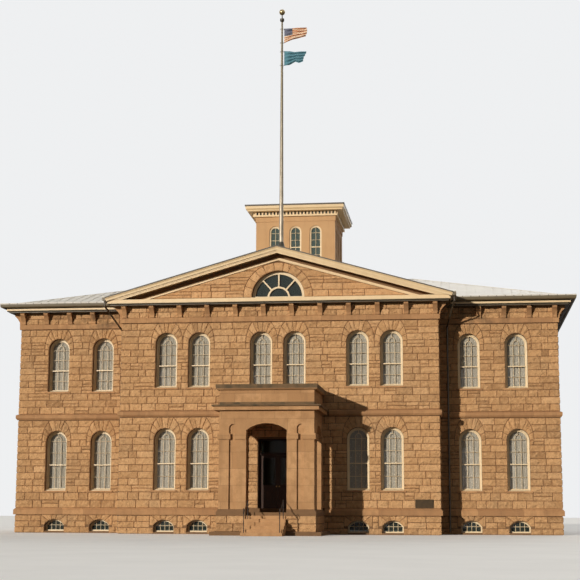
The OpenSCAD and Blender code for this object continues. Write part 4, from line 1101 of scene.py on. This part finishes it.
def barProfile(width, front, back):
    # Glazing bar: flat back on the glass, narrow front
    return [(-width / 2, back), (-width * 0.24, front), (width * 0.24, front), (width / 2, back)]


def mouldProfile(width, out):
    # Moulding on a frame's face: bead at its outer edge and a hollow towards the sash
    return [(width / 2, 0.004), (width / 2, -out), (width * 0.24, -out), (width * 0.05, -out * 0.62),
            (-width * 0.3, -out * 0.42), (-width / 2, 0.004)]


def archPath(half, low, crown, steps=12):
    # Up one side, round the half circle and down the other, seen from outside
    turn = np.linspace(np.pi, 0, steps + 1)
    spring = crown - half
    arc = np.stack([half * np.cos(turn), spring + half * np.sin(turn)], -1)
    return np.vstack([[(-half, low)], arc, [(half, low)]])


def upright(u, low, high):
    # Path of an upright bar
    return [(u, low), (u, high)]


def level(half, z):
    # Path of a level bar, as far to the left as to the right
    return [(-half, z), (half, z)]


def sashParts(kind, width, low, crown):
    # Bars, stiles and moulding of one round-headed sash window, in its own (u, depth, z)
    work, frameW = sashWork, sashWork["frame"][kind]
    bar = barProfile(work["bar"], work["barFront"], work["back"])
    stileIn, mouldIn = work["stile"] / 2, work["mould"][0] / 2
    stile = rectangle(-stileIn, stileIn, work["stileFront"], work["back"])
    clear = width / 2 - frameW - work["stile"]
    pane, archFoot = clear / 3, low + work["rails"][kind][2] + work["archFoot"]
    parts = [carry(archPath(clear + stileIn, low + frameW + stileIn, crown - frameW - stileIn), stile, True),
             carry(archPath(width / 2 - mouldIn, low, crown - mouldIn), mouldProfile(*work["mould"]))]
    turn = np.linspace(np.pi, 0, 11)
    paths = [upright(side * pane, low + frameW, archFoot) for side in (-1, 1)]
    paths += [np.stack([pane * np.cos(turn), archFoot + pane * np.sin(turn)], -1),
              upright(0, archFoot + pane, crown - frameW - 0.03)]
    paths += [level(clear + 0.01, low + z) for z in work["rails"][kind]]
    parts += [carry(path, bar) for path in paths]
    rise, deep = work["subSill"]
    wedge = [(0.0, 0.004), (rise, 0.004), (rise * 0.35, -deep), (0.0, -deep)]
    return join(parts + [carry(level(width / 2, low + 0.001), wedge)])


def basementParts(kind, width, low, crown):
    # Upright bars cut off by the segment arch, whose height is a circle over the run, and one across
    work, frameW, rise, half = sashWork, sashWork["frame"][kind], stoneWork["basementRise"], width / 2
    bar = barProfile(work["basementBar"], work["barFront"], work["back"])
    radius = (half ** 2 + rise ** 2) / (2 * rise) - frameW
    paths = [upright(u, low + frameW * 0.5, crown - frameW - radius + math.sqrt(radius ** 2 - u ** 2) + 0.02)
             for u in work["basementBars"]]
    paths.append(level(half - frameW * 0.5, low + work["basementRail"]))
    return join([carry(path, bar) for path in paths])


def cupolaParts(kind, width, low, crown):
    # Moulding, one upright bar, three across and a meeting rail
    work, frameW = cupolaWork, sashWork["frame"][kind]
    bar, across, inset = barProfile(*work["bar"]), width / 2 - frameW + 0.01, work["mouldIn"]
    parts = [carry(archPath(width / 2 - inset, low, crown - inset), mouldProfile(*work["mould"])),
             carry(upright(0, low + frameW / 2, crown - frameW / 2), bar)]
    parts += [carry(level(across, low + z), bar) for z in work["bars"]]
    return join(parts + [carry(level(across, low + work["meeting"]), rectangle(*work["rail"]))])


def makeWindowWood():
    # The same part at every window of a kind
    makers = {"lower": sashParts, "upper": sashParts, "basement": basementParts, "cupola": cupolaParts}
    for kind, maker in makers.items():
        same = [w for w in windows if w["kind"] == kind]
        part = maker(kind, same[0]["width"], same[0]["low"], same[0]["high"])
        copies = [setOnWall(w["turn"], w["place"], part) for w in same]
        makePiece(kind + "_sash_bars", *join(copies), "cream_wood")
    print("sash bars made")


makeWindowWood()


# Lace curtains: gathered cloth on a wire behind each sash window

curtain = {
    "depth": 0.195, "wave": 0.013, "folds": 12, "half": 0.515, "columns": 72, "rows": 8,
    "head": 0.01, "foot": 0.015,  # room at the arch and over the sill
    "swell": (0.75, 0.25, 5), "drift": 0.8,  # steady and changing share of the folds' depth, and its pace
}


def clothUv(piece, across, down):
    # The cloth's own flat places
    layer = piece.data.uv_layers.new(name="cloth")
    corner = np.empty(len(piece.data.loops), np.int32)
    piece.data.loops.foreach_get("vertex_index", corner)
    layer.data.foreach_set("uv", np.stack([across.ravel()[corner], down.ravel()[corner]], -1).ravel())


def makeCurtain(number, w):
    # Gathers: depth is the centre plus a sine of the run, whose phase drifts a little with the height;
    # the head follows the window's arch
    s, t = np.meshgrid(np.linspace(0, 1, curtain["columns"]), np.linspace(0, 1, curtain["rows"]))
    u = (2 * s - 1) * curtain["half"]
    spring = w["high"] - w["width"] / 2
    head = spring + np.sqrt(np.maximum((curtain["half"] + curtain["head"]) ** 2 - u ** 2, 0))
    foot = w["low"] + curtain["foot"]
    z = foot + (head - foot) * t
    phase, drift = rng.uniform(0, 6.28), rng.uniform(-curtain["drift"], curtain["drift"])
    steady, changing, pace = curtain["swell"]
    swell = curtain["wave"] * (steady + changing * np.sin(pace * s + phase))
    deep = curtain["depth"] + swell * np.sin(2 * np.pi * curtain["folds"] * s + phase + drift * t)
    points = onWall(w["turn"], w["place"], u, -deep, z)
    piece = makePiece(f"curtain_{number:02d}", points.reshape(-1, 3),
                      gridFaces(curtain["rows"], curtain["columns"]), "lace_curtain")
    step = np.linalg.norm(np.diff(points[0], axis=0), axis=1)
    run = np.concatenate([[0], np.cumsum(step)])
    clothUv(piece, np.broadcast_to(run, s.shape), z - foot)
    area = float(((head - foot)[0][:-1] * step).sum())
    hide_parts("window_curtains")
    float((head - foot).max())


def makeCurtains():
    # One curtain for each window of the two storeys, in the order of their boxes
    sashes = [w for w in windows if w["kind"] in ("lower", "upper")]
    for number, w in enumerate(sashes):
        makeCurtain(number, w)
    print("curtains hung:", len(sashes))


makeCurtains()


# Flags that droop from the pole

# Edges of each hanging flag under its upper corner at the pole: (share of the run, height), in metres
flags = {
    "upper_flag": {
        "name": "striped_flag", "slot": "striped_flag",
        "phase": 2.2, "slant": 3.4, "wave": 0.012, "pleat": 0.044, "pleats": 3.6, "foldOver": 0.05,
        "top": ((0, 0), (0.5, -0.005), (1, -0.012)),
        "foot": ((0, -0.80), (0.15, -0.715), (0.35, -0.63), (0.6, -0.555), (0.85, -0.5), (1, -0.46)),
        "fly": ((0, 0), (0.3, 0.03), (0.6, 0.02), (1, -0.06)),
    },
    "lower_flag": {
        "name": "plain_blue_flag", "slot": "blue_flag",
        "phase": 1.2, "slant": 1.6, "wave": 0.014, "pleat": 0.044, "pleats": 3.9, "foldOver": 0.02,
        "top": ((0, 0), (0.25, -0.015), (0.45, -0.06), (1, -0.075)),
        "foot": ((0, -0.80), (0.27, -0.76), (0.45, -0.67), (0.6, -0.60), (0.78, -0.67), (1, -0.61)),
        "fly": ((0, 0), (0.25, -0.05), (0.6, -0.15), (1, -0.19)),
    },
}
flagCloth = {
    "fly": 1.524, "hoist": 0.914, "turns": 9.0, "drift": 2.6, "columns": 72, "rows": 64,
    "waveFrom": 0.16, "pleatFrom": 0.25, "curl": 0.06,  # shares over which wave, pleats and curl set in
    "offPole": 0.112, "inBox": (0.05, 0.058, 0.012, 0.004),  # room left at the fly, sides, top and foot
    "rings": (0.04, 0.784), "ringSize": (0.105, 0.008),  # below the top; radius and thickness
}
bootWork = {
    "foot": 0.36,  # radius of the ring that lies on the roof; the others are radius and height
    "rings": ((0.34, 14.06), (0.25, 14.21), (0.17, 14.40), (0.135, 14.53), (0.122, 14.58)),
    "sunk": 0.006, "sides": 32,
}


def makeFlag(node, look):
    # A sheet between two drawn edges. It swings in Y by a wave that runs out from the pole and slants
    # with the height, and by pleats that grow towards the fly, where the top edge curls over
    low, high = boxes[node]
    cloth, (endRoom, sideRoom, topRoom, footRoom) = flagCloth, flagCloth["inBox"]
    along, down = np.meshgrid(np.linspace(0, 1, cloth["columns"]), np.linspace(0, 1, cloth["rows"]))
    waveTurn = cloth["turns"] * cloth["fly"] * along + look["phase"] + look["slant"] * down
    swing = look["wave"] * np.clip(along / cloth["waveFrom"], 0, 1) * np.sin(waveTurn)
    pleatTurn = 2 * np.pi * look["pleats"] * down + cloth["drift"] * along + look["phase"]
    swing += look["pleat"] * np.clip(along / cloth["pleatFrom"], 0, 1) * np.sin(pleatTurn)
    swing -= look["foldOver"] * along * np.exp(-(down / cloth["curl"]) ** 2)
    reach = high[0] - endRoom - poleX - cloth["offPole"]
    x = poleX + cloth["offPole"] + along * (reach + np.interp(down, *np.array(look["fly"]).T))
    head, foot = [np.interp(along, *np.array(look[edge]).T) for edge in ("top", "foot")]
    top = high[2] - topRoom
    z = top + head + (foot - head) * down
    points = np.stack([x, poleY + np.clip(swing, -sideRoom, sideRoom), np.maximum(z, low[2] + footRoom)], -1)
    faces = gridFaces(cloth["rows"], cloth["columns"])[:, ::-1]
    piece = makePiece(look["name"], points.reshape(-1, 3), faces, look["slot"])
    piece.data.polygons.foreach_set("use_smooth", np.ones(len(piece.data.polygons), bool))
    clothUv(piece, along, down)
    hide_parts(node)
    return [top - below for below in cloth["rings"]]


def turned(rings, sides, closed):
    # Rings of points about the pole, each of one radius and height, joined to a tube
    turn = np.linspace(0, 2 * np.pi, sides + 1)[:-1]
    points = [np.stack([poleX + radius * np.cos(turn), poleY + radius * np.sin(turn), z + 0 * turn], -1)
              for radius, z in rings]
    return outward(np.concatenate(points), tubeFaces(len(rings), sides, closed))


def makeRings(levels):
    # Flag rings: a thin round section carried round the pole at each snap hook
    reach, thick = flagCloth["ringSize"]
    section = np.linspace(0, 2 * np.pi, 9)[:-1]
    parts = [turned([(reach + thick * math.cos(a), z + thick * math.sin(a)) for a in section], 24, True)
             for z in levels]
    makePiece("flag_rings", *join(parts), "pole_metal")


def makePoleBoot(work):
    # Lead cone round the pole's foot, whose lowest ring follows the two slopes of the roof
    foot, sides = work["foot"], work["sides"]
    turn = np.linspace(0, 2 * np.pi, sides + 1)[:-1]
    onRoof = ridgeZ - gableSlope * np.abs(foot * np.cos(turn)) - work["sunk"]
    makePiece("pole_boot", *turned([(foot, onRoof), *work["rings"]], sides, False), "pole_metal")


makeRings([z for node, look in flags.items() for z in makeFlag(node, look)])
makePoleBoot(bootWork)
print("flags made")


# Standing seams and caps of the metal roof

roofWork = {
    "seam": 0.45, "seamWidth": 0.02, "seamHeight": 0.018, "capWidth": 0.14, "capHeight": 0.02,
    "hipRise": 0.292,  # height that the hip gains over a metre
    "clear": 0.02, "hipClear": 0.03,  # ribs end this far from edges and walls, and from the hips
    "shortest": 0.15, "first": (0.3, 0.2), "last": 0.1,  # first and last seams' places from the edges
}


def strip(start, end, width, height, normal):
    # A straight rib from start to end that stands on the roof: four corners at each end
    side = np.cross(end - start, normal)
    side /= np.linalg.norm(side)
    corners = [-side * width / 2 - normal * 0.01, side * width / 2 - normal * 0.01,
               side * width * 0.35 + normal * height, -side * width * 0.35 + normal * height]
    points = np.array([start + c for c in corners] + [end + c for c in corners])
    faces = [[0, 1, 5, 4], [1, 2, 6, 5], [2, 3, 7, 6], [3, 0, 4, 7], [3, 2, 1, 0], [4, 5, 6, 7]]
    return outward(points, faces)


def makeRoofSeams():
    # Seams run down each slope at an even pitch and end at hip, valley, ridge or cupola; every rib
    # has its like on the rear half
    work, edgeX, edgeZ = roofWork, gableEdgeX, roofEdgeZ
    rise, (firstX, firstY), last = work["hipRise"], work["first"], work["last"]
    clear, hipClear = work["clear"], work["hipClear"]
    (cupola, hipY, foot), (wingEdgeX, rearEdge, peak) = boxes["hip_roof_right"]
    run = midY - hipY
    seam, cap = (work["seamWidth"], work["seamHeight"]), (work["capWidth"], work["capHeight"])
    parts = []

    def rib(a, b, normal, size=seam):
        a, b, unit = np.array(a), np.array(b), np.array(normal) / np.linalg.norm(normal)
        if np.linalg.norm(a - b) > work["shortest"]:
            for end in (1, -1):
                flip, centre = np.array([1, end, 1]), np.array([0, midY * (1 - end), 0])
                parts.append(strip(a * flip + centre, b * flip + centre, *size, unit * flip))

    for side in (1, -1):
        for y in np.arange(gableY + clear, midY - last, work["seam"]):
            low = edgeX if y < hipY else edgeX * (1 - (y - hipY) / run)
            top = cupola + clear if midY - y < cupola else 2 * clear
            z = [edgeZ + gableSlope * (edgeX - x) for x in (low, top)]
            if low > top:
                rib((side * (low - clear), y, z[0]), (side * top, y, z[1]), (side * gableSlope, 0, 1))
        for x in np.arange(firstX, wingEdgeX - last, work["seam"]):
            low = hipY if x > edgeX else hipY + (edgeX - x) / edgeX * run
            top = min(midY, hipY + wingEdgeX - x)
            if x < cupola:
                top = min(top, midY - cupola - clear)
            if top > low:
                z = [edgeZ + rise * (y - hipY) for y in (low, top)]
                rib((side * x, low + clear, z[0]), (side * x, top - hipClear, z[1]), (0, -rise, 1))
        for y in np.arange(hipY + firstY, midY, work["seam"]):
            top = wingEdgeX - (y - hipY)
            z = edgeZ + rise * (y - hipY)
            rib((side * (wingEdgeX - clear), y, edgeZ), (side * (top + hipClear), y, z), (side * rise, 0, 1))
        corner = (side * (wingEdgeX - hipClear), hipY + hipClear, edgeZ)
        meet = (side * (wingEdgeX - run), midY, edgeZ + rise * run)
        rib(corner, meet, (side * rise, -rise, 2), cap)
        rib(meet, (side * (cupola + clear), midY, meet[2]), (0, 0, 1), cap)
    rib((0, gableY + 0.01, ridgeZ), (0, midY - cupola - clear, ridgeZ), (0, 0, 1), cap)
    makePiece("roof_seams", *join(parts), "roof_metal")
    print("roof seams made:", len(parts))


makeRoofSeams()


# Crown mouldings and dark drip edges on the gables, the cupola and the gutters

edgeWork = {
    "crownHigh": 0.187, "crownOut": 0.055, "dripHigh": 0.055, "dripOut": 0.08,
    "strapPitch": 0.42, "strapWidth": 0.03, "strapHigh": 0.09, "strapOut": 0.006, "strapIn": 0.012,
    "strapFirst": (0.45, 0.2), "strapLast": 0.1, "strapDrop": 0.01,  # from the corners, and under the rim
    # Profiles as (outward, height from the top)
    "cupolaDrip": ((-0.03, -0.07), (0.03, -0.07), (0.034, 0.006), (-0.03, 0.02)),
    "copingCap": ((-0.18, -0.05), (-0.18, 0.035), (-0.165, 0.06), (0.12, 0.062), (0.12, -0.02)),
    "copingIn": 0.17,  # from the coping's edge in to the path of its cap
    # The fuller curve under each bracket's lip, as (height below the top, depth from the wall)
    "consoleOver": 0.004,  # a console is this much wider than its bracket on each side
    "console": ((0.11, 0.0), (0.11, 0.395), (0.15, 0.355), (0.2, 0.3), (0.26, 0.25), (0.32, 0.212),
                (0.38, 0.172), (0.45, 0.132), (0.45, 0.0)),
}


def fromTop(profile, top):
    # A profile's heights counted from the top of a solid
    return [(out, top + z) for out, z in profile]


def makeRakeEdges(work):
    # Mouldings carried up one slope of each gable's roof edge and down the other
    path = [(-gableEdgeX, roofEdgeZ), (0, ridgeZ), (gableEdgeX, roofEdgeZ)]
    high, out = work["crownHigh"], work["crownOut"]
    crown = [(-high, 0.002), (-high, -out * 0.3), (-high * 0.6, -out * 0.36), (-high * 0.42, -out * 0.5),
             (-high * 0.27, -out * 0.9), (-high * 0.2, -out), (-0.004, -out), (-0.004, 0.002)]
    drip = rectangle(-work["dripHigh"] * 0.4, work["dripHigh"] * 0.6, -work["dripOut"], 0.03)
    for name, profile, slot, finish in (("rake_crowns", crown, "cream_paint", "cream_paint"),
                                        ("rake_drips", drip, "brown_paint", "drip_paint")):
        part = carry(path, profile)
        parts = [setOnWall(turn, place, part)
                 for turn, place in ((0, (0, gableY)), (180, (0, 2 * midY - gableY)))]
        makePiece(name, *join(parts), slot, finish)


def makeCupolaDrip(work):
    # Dark edge round the top of the cupola's cornice, which is square in plan
    half, y, top = boxes["cupola_cornice"][1]
    path = [(-half, midY - half), (-half, midY + half), (half, midY + half), (half, midY - half)]
    part = carryFlat(path, fromTop(work["cupolaDrip"], top), True)
    makePiece("cupola_drip", *part, "brown_paint", "drip_paint")


def makeCopingCap(work):
    # Weathered top course on the portico's coping, round its front and two sides
    (left, front, foot), (half, back, top) = boxes["portico_parapet"]
    side, front = half - work["copingIn"], front + work["copingIn"]
    path = [(-side, back), (-side, front), (side, front), (side, back)]
    part = carryFlat(path, fromTop(work["copingCap"], top))
    makePiece("coping_cap", *part, "smooth_stone", "coping_stone")


def makeConsoles(work):
    # The curve's outline on both sides of every bracket, a little wider than the bracket
    outline = np.array(work["console"])
    k = len(outline)
    faces = [list(range(k)), list(range(k, 2 * k))[::-1]]
    faces += [[i, (i + 1) % k, (i + 1) % k + k, i + k] for i in range(k)]
    parts = []
    for low, high in looseBoxes("eave_brackets"):
        centre, size = (low + high) / 2, high - low
        turn = facing(centre, size[1] > size[0])
        half = min(size[:2]) / 2 + work["consoleOver"]
        u = np.repeat([-half, half], k)
        out, z = np.tile(outline[:, 1], 2), high[2] - np.tile(outline[:, 0], 2)
        foot = centre[:2] - sideways(turn)[1] * max(size[:2]) / 2
        parts.append(outward(onWall(turn, foot, u, out, z), faces))
    makePiece("bracket_consoles", *join(parts), "smooth_stone", "band_stone")


def makeStraps(work):
    # Straps down the gutters' faces on the wings, at an even pitch
    half, y, top = boxes["gutters"][1]
    roof = boxes["hip_roof_right"]
    front = roof[0][1] - (half - roof[1][0])
    rear = 2 * midY - front
    block = np.array([(x, y, z) for z in (-work["strapHigh"], 0) for y in (-work["strapOut"], work["strapIn"])
                      for x in (-work["strapWidth"] / 2, work["strapWidth"] / 2)])
    faces = [[0, 2, 3, 1], [4, 5, 7, 6], [0, 1, 5, 4], [2, 6, 7, 3], [0, 4, 6, 2], [1, 3, 7, 5]]
    (firstX, firstY), last, lift = work["strapFirst"], work["strapLast"], (0, top - work["strapDrop"])
    runs = np.arange(gableEdgeX + firstX, half - last, work["strapPitch"])
    runs = np.concatenate([runs, -runs])
    sideRuns = np.arange(front + firstY, rear - last, work["strapPitch"])
    rows = [(0, (0, front), runs), (180, (0, rear), runs),
            (90, (half, 0), sideRuns), (-90, (-half, 0), -sideRuns)]
    parts = [outward(*setOnWall(turn, place, (block + (mark, *lift), faces)))
             for turn, place, marks in rows for mark in marks]
    makePiece("gutter_straps", *join(parts), "brown_paint", "drip_paint")


for makeEdges in (makeRakeEdges, makeCupolaDrip, makeCopingCap, makeConsoles, makeStraps):
    makeEdges(edgeWork)
print("edges made")


# Floor, light and background

studio = {
    "floor": (paint(232, 229, 223), paint(216, 213, 207)), "bounce": paint(100, 97, 92), "glow": 0.2,
    "floorHalf": 260.0, "backdrop": (0.86, 0.87, 0.88, 1), "sky": (0.96, 0.98, 1.0, 1), "ambient": 0.1,
    "top": 0.3, "topSoft": 60.0, "topWay": (0, 0.05, -1.0),
    "sun": 3.3, "sunTurn": 28.0, "sunHeight": 10.5, "sunSoft": 1.0,  # degrees; the sun stands to the left
    "sunTone": (1.0, 0.965, 0.9),
    # A soft lamp behind the building, for its other sides
    "rear": 1.1, "rearSoft": 40.0, "rearWay": (-0.15, -1.0, -0.5),
}


def makeFloor():
    # A wide sheet; the light that leaves it for the walls is dimmer than the floor looks
    size = studio["floorHalf"]
    mesh = bpy.data.meshes.new("studioFloor")
    corners = [(-size, -size, 0), (size, -size, 0), (size, size, 0), (-size, size, 0)]
    mesh.from_pydata(corners, [], [(0, 1, 2, 3)])
    floor = addObject("studioFloor", mesh)
    made, place = newMaterial("studioFloor", Roughness=0.9)
    colour = place.noise(0.4, 3).mix(*studio["floor"])
    seen = take(place.tree, "ShaderNodeLightPath", "Is Camera Ray")
    setSocket(made, "Base Color", seen.mix(studio["bounce"], colour))
    setSocket(made, "Emission Color", colour)
    setSocket(made, "Emission Strength", seen * studio["glow"])
    mesh.materials.append(made)


def makeSun(name, strength, soft, direction):
    # A lamp whose light runs along the direction
    light = bpy.data.lights.new(name, "SUN")
    light.energy, light.angle = strength, math.radians(soft)
    addObject(name, light).matrix_world = Vector(direction).to_track_quat("-Z", "Y").to_matrix().to_4x4()
    return light


def makeWorld():
    # White light all round; the camera, mirrors and glass see the pale backdrop
    world = bpy.data.worlds.new("studioWorld")
    world.use_nodes = True
    tree = world.node_tree
    tree.nodes.clear()
    camera, mirror, glass = [take(tree, "ShaderNodeLightPath", f"Is {ray} Ray")
                             for ray in ("Camera", "Glossy", "Transmission")]
    seen = camera.maths("MAXIMUM", mirror).maths("MAXIMUM", glass)
    sky, pale = [take(tree, "ShaderNodeBackground", 0, {"Color": colour, "Strength": strength})
                 for colour, strength in ((studio["sky"], studio["ambient"]), (studio["backdrop"], 1.0))]
    mixed = take(tree, "ShaderNodeMixShader", 0, {0: seen, 1: sky, 2: pale})
    addNode(tree, "ShaderNodeOutputWorld", {"Surface": mixed})
    bpy.context.scene.world = world


def makeLights():
    # The sun's direction from its turn and height; soft lamps from above and behind
    turn, height = math.radians(studio["sunTurn"]), math.radians(studio["sunHeight"])
    sunWay = (math.sin(turn) * math.cos(height), math.cos(turn) * math.cos(height), -math.sin(height))
    makeSun("keySun", studio["sun"], studio["sunSoft"], sunWay).color = studio["sunTone"]
    makeSun("topFill", studio["top"], studio["topSoft"], studio["topWay"])
    makeSun("rearFill", studio["rear"], studio["rearSoft"], studio["rearWay"])


makeFloor()
makeWorld()
makeLights()
bpy.context.scene.view_settings.view_transform = "Standard"
print("studio made")
